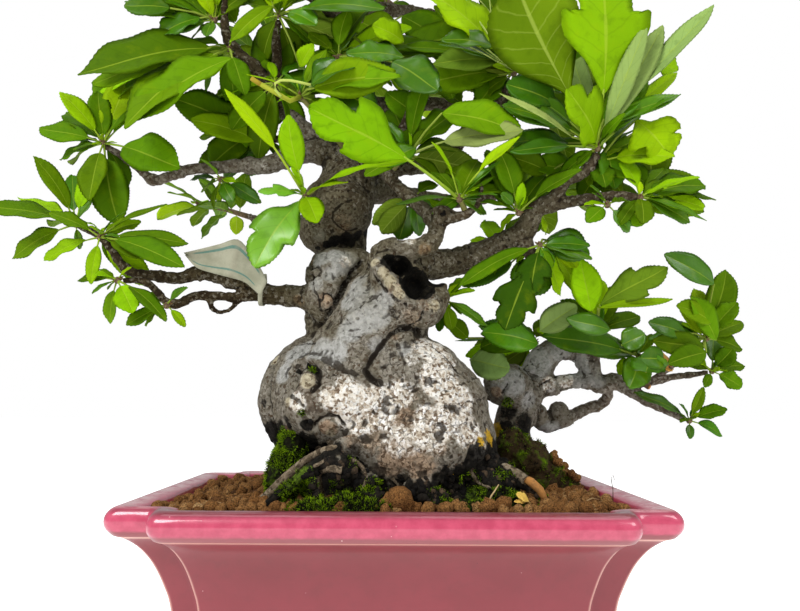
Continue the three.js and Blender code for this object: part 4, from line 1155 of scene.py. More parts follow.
def toRoute(points, route):
    # distance from each point to a line of places
    nearest = np.full(len(points), 1e9)
    for start, end in zip(route, route[1:] if len(route) > 1 else route):
        reach = end - start
        long = max(float(reach @ reach), 1e-12)
        t = np.clip(((points - start) @ reach) / long, 0, 1)
        nearest = np.minimum(nearest, np.linalg.norm(points - start - t[:, None] * reach, axis=1))
    return nearest


def pressCreases(body):
    tree = treeOf(body)
    points, normals = readPoints(body.data), readNormals(body.data)
    normals = neighbourMean(body.data, normals, 3)
    shift, crack = np.zeros(len(points)), np.zeros(len(points))
    for width, depth, route in woodCreases.values():
        places = [seenPlace(tree, u, v)[0] for u, v in route]
        places = [place for place in places if place is not None]
        # a route that leaves the wood, or jumps to a limb behind, is left where it breaks
        kept = [places[:1]]
        for before, after in zip(places, places[1:]):
            if np.linalg.norm(after - before) > 22 * mm:
                kept.append([])
            kept[-1].append(after)
        for part in kept:
            if part:
                away = toRoute(points, part) / mm
                wave = 1 + 0.2 * np.sin(points @ np.array((380, 310, 430)))
                shift += -depth * mm * wave * (1 - smoothstep(0, width, away)) ** 1.4
                # painted shade: the deeper creases also get a dark line in the colour
                if depth > 1.9:
                    crack = np.maximum(crack, smoothstep(width * 0.6, width * 0.12, away))
    paint(body.data, "crack", crack)
    writePoints(body.data, points + normals * shift[:, None])


def addWarts(body):
    tree = treeOf(body)
    balls = []
    for u, v, radius, sink in woodWarts:
        place, normal = seenPlace(tree, u, v)
        if place is None:
            continue
        x, y, z = (place - normal * sink * mm) / mm
        wide = radius * (0.85 + 0.3 * ((u * 7 + v * 3) % 10) / 10)
        balls.append(addBall(x, y, z, wide, radius * 0.9, radius * (0.8 + 0.3 * ((u + v) % 7) / 7), 14, 9))
    return joinPieces([body] + balls, "bonsai_wood")


def paintStains(body):
    tree = treeOf(body)
    points = readPoints(body.data)
    for layer, spots in woodStains.items():
        amount = np.zeros(len(points))
        for u, v, radius, strength in spots:
            place = seenPlace(tree, u, v)[0]
            if place is None:
                continue
            away = np.linalg.norm(points - place, axis=1) / mm
            amount = np.maximum(amount, strength * (1 - smoothstep(radius * 0.45, radius * 1.15, away)))
        if layer == "soot":
            # the foot is crusted black and deepened with painted shade under the belly, higher to both sides
            x, height = points[:, 0] / mm, points[:, 2] / mm
            edge = np.minimum(116 + 0.0115 * (x - 5) ** 2, 142) + 8 * smoothstep(-50, -75, x)
            edge += 3 * np.sin(x * 0.31 + points[:, 1] * 90) + 2 * np.sin(x * 0.83 + 1)
            amount = np.maximum(amount, smoothstep(edge + 5, edge - 4, height))
            # painted shade: the hollows and the gap under the bulge are painted black
            for x, y, z, rx, ry, rz in woodHollows:
                inside = (((points / mm - (x, y, z)) / (rx, ry, rz)) ** 2).sum(1)
                amount = np.maximum(amount, 1 - smoothstep(1.0, 1.12, inside))
        paint(body.data, layer, amount)


def ringLimbs(body):
    # old scars ring the limbs at uneven steps
    points, normals = readPoints(body.data), readNormals(body.data)
    radius, travel = girthOf(points)
    wave = np.sin(travel * 1.05 + radius * 3) + np.sin(travel * 0.61 + 1.3)
    wave = wave + 0.8 * np.sin(travel * 1.73 + 0.6)
    knots = np.maximum(0, np.sin(travel * 0.29 + radius)) ** 6
    lift = wave * 0.16 + knots * 0.9
    weight = smoothstep(1.6, 4, radius) * smoothstep(20, 11, radius)
    writePoints(body.data, points + normals * (lift * weight * mm)[:, None])


def makeWood():
    parts = [tubeOf(route, name, 3, 6) for name, route in woodLimbs.items()]
    parts += [addBall(*lobe) for lobe in baseLobes + woodLumps]
    body = joinPieces(parts, "bonsai_wood")
    remesh(body, wood["voxel"])
    radius, _ = girthOf(readPoints(body.data))
    top, full = wood["blendTop"]
    height = readPoints(body.data)[:, 2] / mm
    group(body, "old", smoothstep(9, 24, radius) * (0.12 + 0.88 * smoothstep(top, full, height)))
    blend = body.modifiers.new("blend", "SMOOTH")
    blend.factor = 0.8
    blend.iterations = wood["blend"]
    blend.vertex_group = "old"
    applyAll(body)
    for hollow in woodHollows:
        cut(body, addBall(*hollow), "DIFFERENCE", "MANIFOLD")
    body = addWarts(body)
    remesh(body, wood["voxel"])
    radius, _ = girthOf(readPoints(body.data))
    group(body, "old", smoothstep(9, 24, radius))
    group(body, "limb", smoothstep(2.2, 7, radius))
    settled = body.modifiers.new("settle", "SMOOTH")
    settled.factor = 0.6
    settled.iterations = wood["settle"]
    settled.vertex_group = "old"
    displace(body, "swells", "CLOUDS", 24, 3.0, "old", noise_depth=1)
    displace(body, "folds", "CLOUDS", 8, 2.3, "limb", noise_depth=3)
    applyAll(body)
    ringLimbs(body)
    pressCreases(body)
    displace(body, "flakes", "CLOUDS", 3.4, 0.9, "limb", noise_depth=3)
    points = readPoints(body.data) / mm
    foot = np.minimum(118 + 0.0115 * (points[:, 0] - 5) ** 2, 140)
    radius, _ = girthOf(points * mm)
    group(body, "crusted", smoothstep(foot + 4, foot - 4, points[:, 2]) * smoothstep(2, 6, radius))
    displace(body, "crust", "CLOUDS", 5.5, 5.5, "crusted", noise_depth=2)
    applyAll(body)
    points = readPoints(body.data)
    normals = readNormals(body.data)
    close = ((points - neighbourMean(body.data, points, 4)) * normals).sum(1) / mm
    wide = ((points - neighbourMean(body.data, points, 40)) * normals).sum(1) / mm
    # kept for the colour, which paints shade into the crevices and broad hollows where these are low
    paint(body.data, "ridge", np.clip(0.5 + close * 1.2, 0, 1))
    paint(body.data, "rise", np.clip(0.5 + wide * 0.25, 0, 1))
    thin = body.modifiers.new("thin_out", "DECIMATE")
    thin.ratio = min(1, wood["triangles"] / sum(len(p.vertices) - 2 for p in body.data.polygons))
    applyAll(body)
    points = readPoints(body.data)
    radius, travel = girthOf(points)
    low = smoothstep(172, 145, points[:, 2] / mm) * 0.3
    paint(body.data, "girth", np.maximum(np.clip(radius / 34, 0, 1), low))
    paint(body.data, "travel", travel / 100)
    paintStains(body)
    print("wood triangles:", sum(len(p.vertices) - 2 for p in body.data.polygons))
    return finishPiece(body, barkFinish(), ["trunk"])


def barkFinish():
    f = Finish("old_bark")
    girth, ridge, rise = f.layer("girth"), f.layer("ridge"), f.layer("rise")
    white, tan, soot = f.layer("white"), f.layer("tan"), f.layer("soot")
    green, lichen, cream, clean = f.layer("green"), f.layer("lichen"), f.layer("cream"), f.layer("clean")
    wobble = f.warp(2.6, 1.6)
    flakes = f.cells(1.8, place=f.warp(1.8, 1.2), output="Color") * 1.0
    scaleEdge = f.cells(5.5, "DISTANCE_TO_EDGE", place=wobble)
    patch = f.noise(13, 5, 0.6)
    stain = f.noise(6, 7, 0.72)
    fine = f.noise(1.1, 5, 0.75)
    grit = f.noise(0.7, 3, 0.7)
    mottle = stain * 0.45 + flakes * 0.3 + fine * 0.25
    grey = f.mix(mottle.step(0.3, 0.68), (0.085, 0.072, 0.050), (0.30, 0.275, 0.225))
    grey = f.mix(patch.step(0.42, 0.62) * 0.5, grey, (0.15, 0.13, 0.088))
    cleanMask = (clean + (stain - 0.5) * 0.9).step(0.2, 0.75)
    plain = f.mix(mottle.step(0.3, 0.68), (0.20, 0.197, 0.178), (0.41, 0.41, 0.39))
    grey = f.mix(cleanMask * 0.9, grey, plain)
    twig = f.mix(stain.step(0.35, 0.65), (0.045, 0.030, 0.020), (0.125, 0.095, 0.065))
    twig = f.mix(flakes.step(0.5, 0.8) * 0.7, twig, (0.25, 0.215, 0.17))
    colour = f.mix((girth + (patch - 0.5) * 0.12).step(0.06, 0.22), twig, grey)
    tanMask = (tan + (stain - 0.5) * 1.4).step(0.2, 0.75)
    tans = f.mix(mottle.step(0.35, 0.65), (0.155, 0.09, 0.052), (0.46, 0.33, 0.215))
    colour = f.mix(tanMask * 0.85, colour, tans)
    whiteMask = (white + (stain - 0.5) * 1.3 - tan * 0.3).step(0.25, 0.7)
    whites = f.ramp(mottle, [(0.32, (0.19, 0.125, 0.075)), (0.43, (0.46, 0.38, 0.285)),
                             (0.51, (0.70, 0.65, 0.56)), (0.60, (0.88, 0.86, 0.82))])
    colour = f.mix(whiteMask, colour, whites)
    creamMask = (cream + (stain - 0.5) * 1.2).step(0.3, 0.7)
    colour = f.mix(creamMask * 0.8, colour, f.mix(flakes, (0.27, 0.215, 0.12), (0.66, 0.60, 0.43)))
    # brown specks between the flakes, thick on the scaly bark and thin on the clean
    grain = f.noise(1.4, 5, 0.7, f.stretch((0.7, 0.7, 1.9), (0, 0.25, 0)))
    speck = (0.50 - (grain * 0.65 + flakes * 0.35) - cleanMask * 0.13).step(0.06, 0.17)
    colour = f.mix(speck * 0.8, colour, (0.085, 0.050, 0.028))
    seam = (1 - scaleEdge.step(0.0, 0.07)) * (1 - cleanMask) * stain.step(0.42, 0.6) * girth.step(0.1, 0.4)
    colour = f.mix(seam * 0.75, colour, (0.045, 0.032, 0.022))
    dots = (1 - f.cells(7, place=wobble).step(0.04, 0.09)) * girth.step(0.15, 0.4) * (1 - whiteMask)
    colour = f.mix(dots * 0.85, colour, (0.035, 0.026, 0.02))
    # painted shade: darker in small crevices, and in broad hollows
    colour = f.mix(ridge.step(0.42, 0.16) * 0.85, colour, (0.022, 0.016, 0.011))
    colour = f.mix(rise.step(0.36, 0.0) * 0.4, colour, (0.05, 0.04, 0.028))
    # painted shade: dark lines along the deeper creases
    creaseShaded = (f.layer("crack") + (fine - 0.5) * 0.9).step(0.35, 0.85)
    colour = f.mix(creaseShaded * 0.85, colour, (0.018, 0.013, 0.009))
    # black crust with painted shade at the foot, and painted shade in the hollows and under the bulge
    crustAndShadeMask = (soot + (stain - 0.5) * 1.1 + (flakes - 0.5) * 0.4).step(0.3, 0.62)
    crustAndShadeColours = f.mix(mottle.step(0.5, 0.75), (0.002, 0.0017, 0.0013), (0.024, 0.019, 0.012))
    colour = f.mix(crustAndShadeMask * 0.96, colour, crustAndShadeColours)
    lichenMask = (lichen + (fine - 0.5) * 2.6 + (flakes - 0.5) * 0.9).step(0.4, 0.6) * lichen.step(0.05, 0.3)
    colour = f.mix(lichenMask * 0.9, colour, (0.60, 0.36, 0.02))
    rootMask = (f.layer("root") + (fine - 0.5) * 0.8).step(0.35, 0.7)
    rootBark = f.mix(mottle.step(0.35, 0.65), (0.07, 0.050, 0.03), (0.36, 0.28, 0.185))
    colour = f.mix(rootMask * 0.85, colour, rootBark)
    greenMask = (green + (stain - 0.5) * 1.5 + (flakes - 0.5) * 0.4).step(0.35, 0.7)
    greens = f.mix(fine.step(0.35, 0.65), (0.018, 0.035, 0.003), (0.14, 0.23, 0.015))
    colour = f.mix(greenMask * 0.85, colour, greens)
    # the stems and branches are darker than the base and tinted olive: partly their own darker bark, partly
    # painted shade from the foliage above
    depth = f.part("Z") / mm
    sideways = f.part("X") / mm
    upperLeft = depth.step(296, 316) * sideways.step(-56, -72) * depth.step(400, 380)
    kept = (1 - f.layer("bare") * 0.85) * (1 - whiteMask * 0.6) * (1 - upperLeft * 0.75)
    colour = f.mix(depth.step(196, 226) * kept, colour, (0.56, 0.53, 0.42), "MULTIPLY")
    lowerLeft = depth.step(205, 225) * sideways.step(-62, -84) * (1 - upperLeft)
    colour = f.mix(lowerLeft, colour, (0.62, 0.58, 0.46), "MULTIPLY")
    pale = (fine * 0.5 + flakes * 0.5).step(0.58, 0.72) * girth.step(0.75, 0.45) * (1 - crustAndShadeMask)
    colour = f.mix(pale * 0.55, colour, (0.25, 0.235, 0.19))
    height = fine * 0.7 + grit * 0.3 + stain * 1.6 + flakes * 0.35 - speck * 0.4 - seam * 0.9 - dots * 0.8
    bump = f.bump(height * (1 - cleanMask * 0.45), 1.0, 0.9)
    rough = 0.74 + grit * 0.2 - cleanMask * 0.14
    return f.plain(colour, rough, bump, 0.12)


bonsaiWood = makeWood()
woodTree = treeOf(bonsaiWood)
print("wood made")


# leaves
# rosettes: where each starts, in millimetres, and its leaves, as the tip from there, width, facing, look
# and, where it isn't the usual, the stalk's share of the length
shoots = {
    "leftLowTip": {"at": (-203, -54, 277), "leaves": [
        (67, -30, -26, 16, 60, "m"), (44, -15, -18, 13, 55, "m"), (62, -5, -5, 12, 50, "m"),
        (42, 10, 26, 8, 40, "m"), (21, -10, 16, 6, 30, "d"), (-30, -12, 14, 13, 50, "m"),
        (-34, -6, -18, 13, 60, "y"), (4, -20, -36, 8, 70, "y"),
    ]},
    "leftLowFar": {"at": (-224, -45, 288), "leaves": [
        (-52, -16, 8, 17, 50, "m"), (-48, 14, 22, 16, 40, "y"), (-44, 4, -24, 16, 60, "m"),
        (-20, -26, 40, 15, 50, "m"), (-14, 22, 42, 14, 40, "d"), (-30, 34, 6, 16, 40, "m"),
        (8, 16, 46, 13, 45, "y"),
    ]},
    "leftLowUnder": {"at": (-184, -69, 245), "leaves": [
        (15, -10, -23, 14, 75, "y"), (-7, 10, -28, 10, 50, "m"), (38, -15, -29, 10, 40, "m"),
        (-12, -10, -11, 6, 30, "d"), (-30, 10, 1, 10, 50, "m"),
    ]},
    "leftLowMid": {"at": (-152, -65, 229), "leaves": [
        (-24, -6, -14, 10, 55, "m"), (17, -12, 10, 7, 60, "d"), (-16, 12, 10, 8, 50, "m"),
        (12, 4, -14, 6, 40, "y"),
    ]},
    "leftUpTip": {"at": (-216, -24, 354), "leaves": [
        (64, -25, -26, 28, 80, "m", 0.3), (19, 10, 40, 12, 40, "m"), (-28, -15, 33, 13, 50, "y"),
        (19, -12, -64, 24, 80, "m"), (2, -25, -50, 18, 70, "m"), (-48, 0, 11, 17, 60, "m"),
        (25, 25, 36, 12, 30, "y"), (-34, 26, -8, 16, 50, "m"),
    ]},
    "leftUpSpur": {"at": (-131, -16, 330), "leaves": [
        (-11, -20, 9, 9, 30, "d"), (12, -10, -20, 10, 75, "d"), (29, 10, -15, 11, 70, "d"),
        (-17, 15, -6, 11, 50, "m"),
    ]},
    "topLeftBig": {"at": (-127, -23, 429), "leaves": [
        (-98, -32, -36, 38, 62, "m", 0.12), (-58, -47, -80, 34, 70, "m", 0.12),
        (-53, 22, -30, 13, 40, "m"), (15, -8, -40, 15, 60, "m"), (-39, 27, 18, 11, 50, "m"),
    ]},
    "topLeftSpur": {"at": (-139, -22, 452), "leaves": [
        (-61, -20, 3, 13, 45, "d"), (-32, -12, -17, 13, 80, "d", 0.2), (-3, -12, -19, 9, 80, "d"),
        (-24, -5, 34, 14, 40, "m"), (6, 10, 50, 13, 50, "y"), (-36, 20, 32, 12, 40, "y"),
        (-25, 18, -12, 11, 60, "m"),
    ]},
    "topLeftFront": {"at": (-92, -14, 461), "leaves": [
        (-31, -25, -35, 8, 50, "y", 0.15), (33, -22, -12, 10, 60, "d"), (83, -20, -3, 11, 35, "d", 0.15),
        (72, -10, -40, 17, -50, "p", 0.15), (-15, 20, -30, 19, 60, "m", 0.1), (8, 28, -26, 21, 70, "m"),
        (-26, 10, 42, 16, 40, "m"), (19, -10, 42, 15, 50, "y"), (44, 20, 44, 14, 40, "m"),
    ]},
    "topLeftStem": {"at": (-92, -19, 404), "leaves": [
        (-30, -7, -40, 19, 65, "m"), (19, 22, 28, 9, 30, "d"), (-30, 24, -45, 16, 60, "m"),
        (-53, 28, -4, 13, 50, "y"), (29, 22, -5, 13, -50, "p"),
    ]},
    "leftBack": {"at": (-107, 12, 371), "leaves": [
        (-53, -15, 12, 15, 55, "m", 0.2), (-43, 10, -13, 19, 60, "y", 0.2), (-38, 22, 49, 20, 50, "m"),
        (13, 30, 34, 17, 50, "m"), (-11, 14, -25, 16, 60, "d"),
    ]},
    "yellowShoot": {"at": (-70, -42, 384), "stem": (-40, -14, 356), "leaves": [
        (-36, -16, 9, 3, 50, "y"), (72, -32, 1, 20, 55, "b", 0.1), (28, 6, 22, 15, 50, "d"),
        (-12, -6, 16, 6, 30, "d"), (17, 8, 40, 10, 60, "m"), (31, 8, -12, 15, 50, "m"),
    ]},
    "darkMiddle": {"at": (-45, -24, 423), "stem": (-40, -2, 414), "leaves": [
        (76, -30, -39, 15, 50, "d", 0.06), (8, -8, 34, 15, 50, "m"), (-23, 10, 24, 12, 60, "m"),
        (45, 8, 18, 17, 40, "m"), (25, 6, -27, 14, 50, "m"),
    ]},
    "frontBright": {"at": (-65, -42, 311), "stem": (-56, -18, 322), "leaves": [
        (-30, -22, -56, 30, 80, "g", 0.1), (11, -18, -24, 15, 80, "y", 0.1),
        (-30, -18, -3, 11, 60, "g", 0.15), (-11, -16, 53, 15, 75, "y", 0.3),
        (-54, -24, 68, 9, 60, "y", 0.42), (32, -26, 2, 11, 40, "y", 0.1),
        (76, -34, 15, 11, 45, "y", 0.12),
    ]},
    "centreLobed": {"at": (42, -65, 303), "stem": (46, -60, 297), "leaves": [
        (-98, -46, 45, 38, 75, "l", 0.4), (37, -28, 34, 10, 40, "y", 0.4),
        (-20, -22, 32, 10, 40, "y", 0.4), (-43, -14, -8, 7, 35, "d", 0.1),
        (26, -14, 22, 6, 50, "d", 0.15), (33, 14, 11, 13, 60, "m", 0.2), (25, -8, 1, 5, 30, "d"),
    ]},
    "centreArch": {"at": (8, -36, 343), "stem": (-3, -31, 334), "leaves": [
        (76, -43, 4, 22, 60, "q", 0.35), (41, 24, 45, 20, 60, "m"), (-17, -10, 21, 10, 50, "d"),
        (14, -8, 59, 14, 50, "m"), (-31, -14, -20, 12, 60, "m"),
    ]},
    "centreUnder": {"at": (12, -34, 313), "leaves": [
        (-23, -6, -28, 15, -60, "p"), (-10, 12, -29, 15, 70, "d"), (17, 14, 14, 12, 60, "m"),
        (24, 18, -17, 10, 60, "y"),
    ]},
    "fruitSpur": {"at": (86, -30, 409), "leaves": [
        (-71, -35, 47, 34, 60, "y", 0.25), (-85, 16, 28, 18, 40, "m", 0.12),
        (-57, -22, 11, 10, 50, "d", 0.2), (-59, 10, 57, 18, 50, "m", 0.2),
        (-47, 12, -9, 12, 65, "m", 0.2), (-41, 15, 13, 9, -40, "p", 0.1), (-25, 12, 88, 17, 50, "m"),
        (27, 26, 86, 19, 50, "m"), (-8, 22, -37, 15, 50, "d"),
    ]},
    "rightRosette": {"at": (137, -64, 340), "leaves": [
        (-62, -42, 98, 52, -65, "u", 0.32), (-3, -30, 122, 50, 80, "l", 0.28),
        (-29, -38, 26, 40, 82, "l", 0.1), (29, -24, 78, 12, 60, "q", 0.15),
        (44, -12, 84, 17, 60, "q", 0.15), (78, -16, 97, 14, 45, "q", 0.36),
        (62, 12, 61, 10, 55, "y", 0.4), (52, -18, 32, 9, 35, "d", 0.2), (14, -20, 17, 10, 45, "m", 0.1),
        (-62, -12, -7, 13, 65, "d", 0.35), (-65, -6, 27, 15, 60, "d", 0.3),
        (-60, 10, 49, 15, 50, "d", 0.3), (-14, 20, 83, 14, 60, "q", 0.3),
    ]},
    "rightRosetteLow": {"at": (140, -54, 334), "leaves": [
        (44, -26, -5, 18, 65, "y", 0.25), (31, -10, -19, 19, 75, "m", 0.15),
        (1, -14, -23, 14, 80, "m", 0.1), (33, 10, 29, 7, 30, "d"), (38, 24, 50, 16, 40, "d"),
        (-12, 26, 50, 16, 50, "q"),
    ]},
    "rightLowTip": {"at": (163, -71, 304), "leaves": [
        (-2, -10, -21, 13, 60, "m", 0.1), (39, -12, -19, 8, 50, "d", 0.1), (34, -16, 9, 8, 35, "y", 0.1),
        (40, 10, 5, 10, 30, "m"), (-7, 14, 32, 11, 70, "y", 0.2), (57, 14, 2, 12, 50, "m"),
        (25, 22, 27, 11, 50, "m"),
    ]},
    "rightLowUnder": {"at": (142, -66, 300), "leaves": [
        (-16, -6, -14, 11, 70, "m"), (16, 4, -18, 10, 60, "d"), (-14, -10, 10, 7, 40, "d"),
    ]},
    "rightTwig": {"at": (84, -54, 297), "leaves": [
        (-14, -10, 40, 16, 70, "m", 0.3), (40, -18, 25, 14, 50, "m", 0.3), (-13, -6, 12, 8, 70, "d", 0.4),
        (-28, -14, 3, 7, 45, "m", 0.1), (-8, 24, 36, 12, 60, "m"),
    ]},
    "rightFork": {"at": (99, -50, 275), "leaves": [
        (33, -12, -12, 12, 50, "d", 0.1), (30, 10, 0, 10, 45, "d"), (-9, -14, -37, 20, 80, "k", 0.15),
        (6, -6, -19, 8, 60, "m"), (-27, -16, -61, 24, 80, "k", 0.35), (-57, -8, -31, 12, 60, "m", 0.12),
        (14, 16, -22, 13, 50, "m"),
    ]},
    "rightBackLeaf": {"at": (77, -20, 278), "leaves": [
        (-25, 14, 4, 14, 60, "y"), (-9, 20, 26, 14, 50, "y"), (21, 22, 31, 12, 60, "m"),
        (-22, 14, -20, 10, 60, "m"),
    ]},
    "hollowShoot": {"at": (34, -38, 238), "stem": (24, -42, 238), "leaves": [
        (29, -6, -19, 7, 50, "d", 0.12), (6, 10, -20, 9, 60, "m"), (21, -4, 6, 6, 40, "y"),
        (-3, 14, -21, 7, 50, "d"),
    ]},
    "clusterShoot": {"at": (160, 30, 223), "leaves": [
        (-14, -10, 57, 13, 65, "y", 0.2), (-35, 8, 73, 14, 60, "y", 0.3), (-16, 12, 25, 16, 60, "m"),
        (-51, -12, -1, 17, 60, "y", 0.2), (25, 12, 12, 10, 50, "m"),
    ]},
    "clusterGlossy": {"at": (187, 17, 203), "leaves": [
        (-81, -33, 12, 22, 60, "d", 0.22), (-58, -5, 25, 10, 40, "d", 0.1),
        (-7, -13, 19, 17, 50, "d", 0.1), (-14, -19, -25, 21, 75, "d", 0.1),
        (15, -13, -13, 14, 60, "d", 0.1), (-25, 13, 9, 13, 60, "m"), (-17, -2, -14, 12, 60, "y"),
    ]},
    "clusterRight": {"at": (240, 18, 217), "leaves": [
        (-50, -16, -2, 12, 50, "d", 0.15), (-31, -10, -9, 9, 50, "y"), (-24, -10, 25, 17, 60, "y", 0.15),
        (24, -4, 28, 15, 50, "m"), (31, 8, -7, 14, 50, "m"), (1, 20, 42, 13, 50, "y"),
    ]},
    "clusterUpperTip": {"at": (254, 43, 193), "leaves": [
        (-41, -18, 19, 12, 50, "y", 0.15), (15, -8, 19, 14, 50, "m"), (21, -6, -13, 14, 60, "m"),
        (-11, -10, -13, 7, 70, "m"), (10, 14, 33, 13, 40, "d"),
    ]},
    "clusterLowTip": {"at": (229, 30, 154), "leaves": [
        (-47, -14, 21, 11, 45, "d", 0.15), (-2, -6, -14, 6, 70, "d"), (-11, -10, 13, 5, 40, "d"),
        (10, -6, 26, 8, 65, "m"), (27, -8, 9, 12, 50, "m"), (28, 6, -12, 11, 60, "d"),
    ]},
    "clusterBack": {"at": (115, 64, 216), "leaves": [
        (-46, -16, 6, 14, 55, "d", 0.1), (-58, -12, -12, 15, 65, "y", 0.15),
        (-41, -4, -28, 18, 70, "p", 0.15), (-66, -6, 1, 4, 40, "d"), (11, 8, 22, 12, 60, "m"),
        (-14, 12, -24, 13, 70, "y"), (-19, 16, 19, 12, 50, "m"),
    ]},
}
# twigs of the crown: from, to, length of the leaves
branchlets = {
    "apex": ((6, 0, 586), (-4, 4, 610), 50),
    "crownLeft": ((-118, -6, 502), (-176, -14, 512), 56),
    "crownLeftMid": ((-64, 6, 486), (-70, -34, 530), 56),
    "crownLeftBack": ((-102, 98, 475), (-136, 124, 486), 54),
    "crownRight": ((84, -34, 521), (142, -44, 522), 56),
    "crownRightMid": ((34, -17, 519), (44, 8, 566), 56),
    "crownRightBack": ((66, 79, 505), (118, 104, 512), 56),
    "crownFront": ((-9, -74, 549), (-20, -124, 548), 56),
    "crownBack": ((0, 36, 494), (-24, 78, 534), 56),
    "backHigh": ((5, 118, 440), (14, 132, 462), 48),
    "backLeft": ((-133, 111, 333), (-184, 126, 348), 40),
    "backRight": ((95, 103, 353), (150, 112, 366), 56),
    "centreBack": ((110, 47, 412), (172, 46, 424), 58),
}
# look: upper colour, its spread, gloss, outline
leafLooks = {
    "y": ((0.235, 0.43, 0.0015), 0.22, 0.15, "plain"),  # young
    "m": ((0.080, 0.172, 0.0008), 0.30, 0.3, "plain"),  # grown
    "d": ((0.054, 0.158, 0.0016), 0.30, 0.75, "plain"),  # old and glossy
    "p": ((0.125, 0.20, 0.014), 0.15, 0.1, "plain"),  # shows its pale underside
    "q": ((0.23, 0.33, 0.085), 0.18, 0.1, "plain"),
    "b": ((0.125, 0.255, 0.0012), 0.15, 0.2, "plain"),  # between young and grown
    "u": ((0.105, 0.200, 0.0008), 0.05, 0.1, "wedge"),
    "l": ((0.20, 0.385, 0.0010), 0.12, 0.15, "lobed"),
    "n": ((0.095, 0.185, 0.0080), 0.15, 0.15, "lobed"),
    "k": ((0.026, 0.070, 0.0010), 0.20, 0.3, "lobed"),
    "g": ((0.17, 0.40, 0.020), 0.15, 0.95, "lobed"),
    "o": ((0.58, 0.33, 0.075), 0.1, 0.1, "plain"),  # dried
    "f": ((0.75, 0.50, 0.10), 0.1, 0.1, "lobed"),
}
# further leaves of a shoot, by the pixel of the main view where each ends:
# (u, v, millimetres behind the shoot's start, look)
moreLeaves = {
    "topLeftBig": [
        (100, 92, 12, "y"), (97, 112, 18, "m"), (150, 82, 20, "y"), (236, 108, 26, "m"),
        (205, 100, 30, "m"), (262, 88, 26, "m"),
    ],
    "topLeftSpur": [
        (142, 12, -6, "m"), (250, -6, 10, "m"), (196, -20, -10, "y"), (160, -8, 14, "m"),
        (236, 24, 18, "m"),
    ],
    "leftUpTip": [
        (98, 92, 4, "m"), (128, 78, 16, "y"), (66, 112, 16, "m"), (60, 160, 10, "m"), (128, 186, 14, "m"),
    ],
    "leftLowTip": [(141, 222, 14, "m"), (120, 266, 10, "m"), (150, 284, 16, "y")],
    "topLeftStem": [
        (222, 118, 20, "m"), (258, 160, 16, "m"), (300, 142, 26, "m"), (250, 60, 26, "m"),
        (322, 78, 24, "d"),
    ],
    "leftBack": [
        (180, 104, 10, "m"), (200, 138, 18, "m"), (246, 178, 18, "m"), (222, 186, 14, "d"),
        (290, 168, 18, "m"),
    ],
    "topLeftFront": [
        (240, 2, 6, "m"), (312, 44, 10, "m"), (345, 40, 22, "p"), (262, -18, 8, "y"), (326, -12, 12, "m"),
    ],
    "yellowShoot": [(330, 62, 16, "d"), (318, 84, 12, "d"), (366, 92, 20, "m")],
    "darkMiddle": [
        (446, 46, 24, "m"), (412, 28, 10, "y"), (376, 34, 14, "y"), (420, 66, 30, "p"),
        (330, 96, 16, "d"), (300, 60, 10, "m"), (372, 4, 6, "m"), (392, 86, 26, "m"),
    ],
    "fruitSpur": [
        (442, 40, -8, "d"), (448, 62, 8, "p"), (462, 88, 12, "p"), (480, 50, 16, "p"),
        (470, 108, 18, "m"), (536, 112, 10, "m"), (466, 20, 20, "m"), (498, 10, 6, "y"),
        (545, 52, 24, "m"),
    ],
    "centreArch": [
        (430, 118, 26, "m"), (462, 150, 24, "m"), (444, 186, 20, "m"), (372, 140, 22, "m"),
        (392, 108, 24, "m"), (480, 168, 18, "p"),
    ],
    "centreLobed": [(478, 160, 24, "m"), (505, 172, 26, "m"), (432, 172, 18, "m"), (486, 214, 10, "d")],
    "centreUnder": [(372, 224, 10, "p"), (420, 236, 8, "d"), (448, 214, 14, "m")],
    "rightTwig": [
        (486, 150, 14, "m"), (470, 178, 16, "m"), (546, 176, 12, "m"), (500, 232, 16, "y"),
        (560, 196, 18, "m"),
    ],
    "rightRosette": [
        (576, 42, 12, "p"), (548, 112, 14, "d"), (536, 150, 18, "m"), (612, 70, 20, "m"),
        (644, 70, 14, "m"), (560, 176, 16, "m"), (528, 88, 20, "m"),
    ],
    "rightRosetteLow": [
        (640, 138, 16, "m"), (582, 196, 14, "m"), (622, 196, 10, "m"), (650, 150, 20, "m"),
    ],
    "rightLowTip": [
        (704, 208, 10, "y"), (690, 222, 4, "d"), (618, 226, 6, "m"), (664, 182, 6, "m"),
        (706, 186, 12, "m"),
    ],
    "rightBackLeaf": [(470, 240, 6, "y"), (524, 232, 12, "m"), (490, 278, 8, "m"), (540, 222, 18, "m")],
    "rightFork": [
        (590, 246, -6, "d"), (552, 268, -4, "d"), (516, 262, 14, "m"), (560, 296, 10, "y"),
        (536, 276, 12, "m"),
    ],
    "clusterShoot": [
        (560, 300, 8, "m"), (534, 330, 12, "p"), (612, 286, 16, "m"), (640, 316, 12, "m"),
        (588, 272, 20, "y"),
    ],
    "clusterGlossy": [(622, 334, -6, "d"), (652, 334, 6, "m"), (590, 352, 4, "d"), (652, 372, 10, "m")],
    "clusterRight": [
        (650, 326, 2, "d"), (676, 350, 8, "p"), (700, 310, 12, "y"), (726, 270, 8, "m"),
        (742, 322, 12, "m"), (684, 366, 14, "m"),
    ],
    "clusterUpperTip": [(680, 360, 8, "m"), (744, 366, 8, "m")],
    "clusterBack": [
        (478, 326, -2, "d"), (472, 350, 14, "p"), (498, 372, 14, "p"), (505, 350, 16, "m"),
        (524, 330, 14, "m"), (476, 372, 20, "p"),
    ],
}
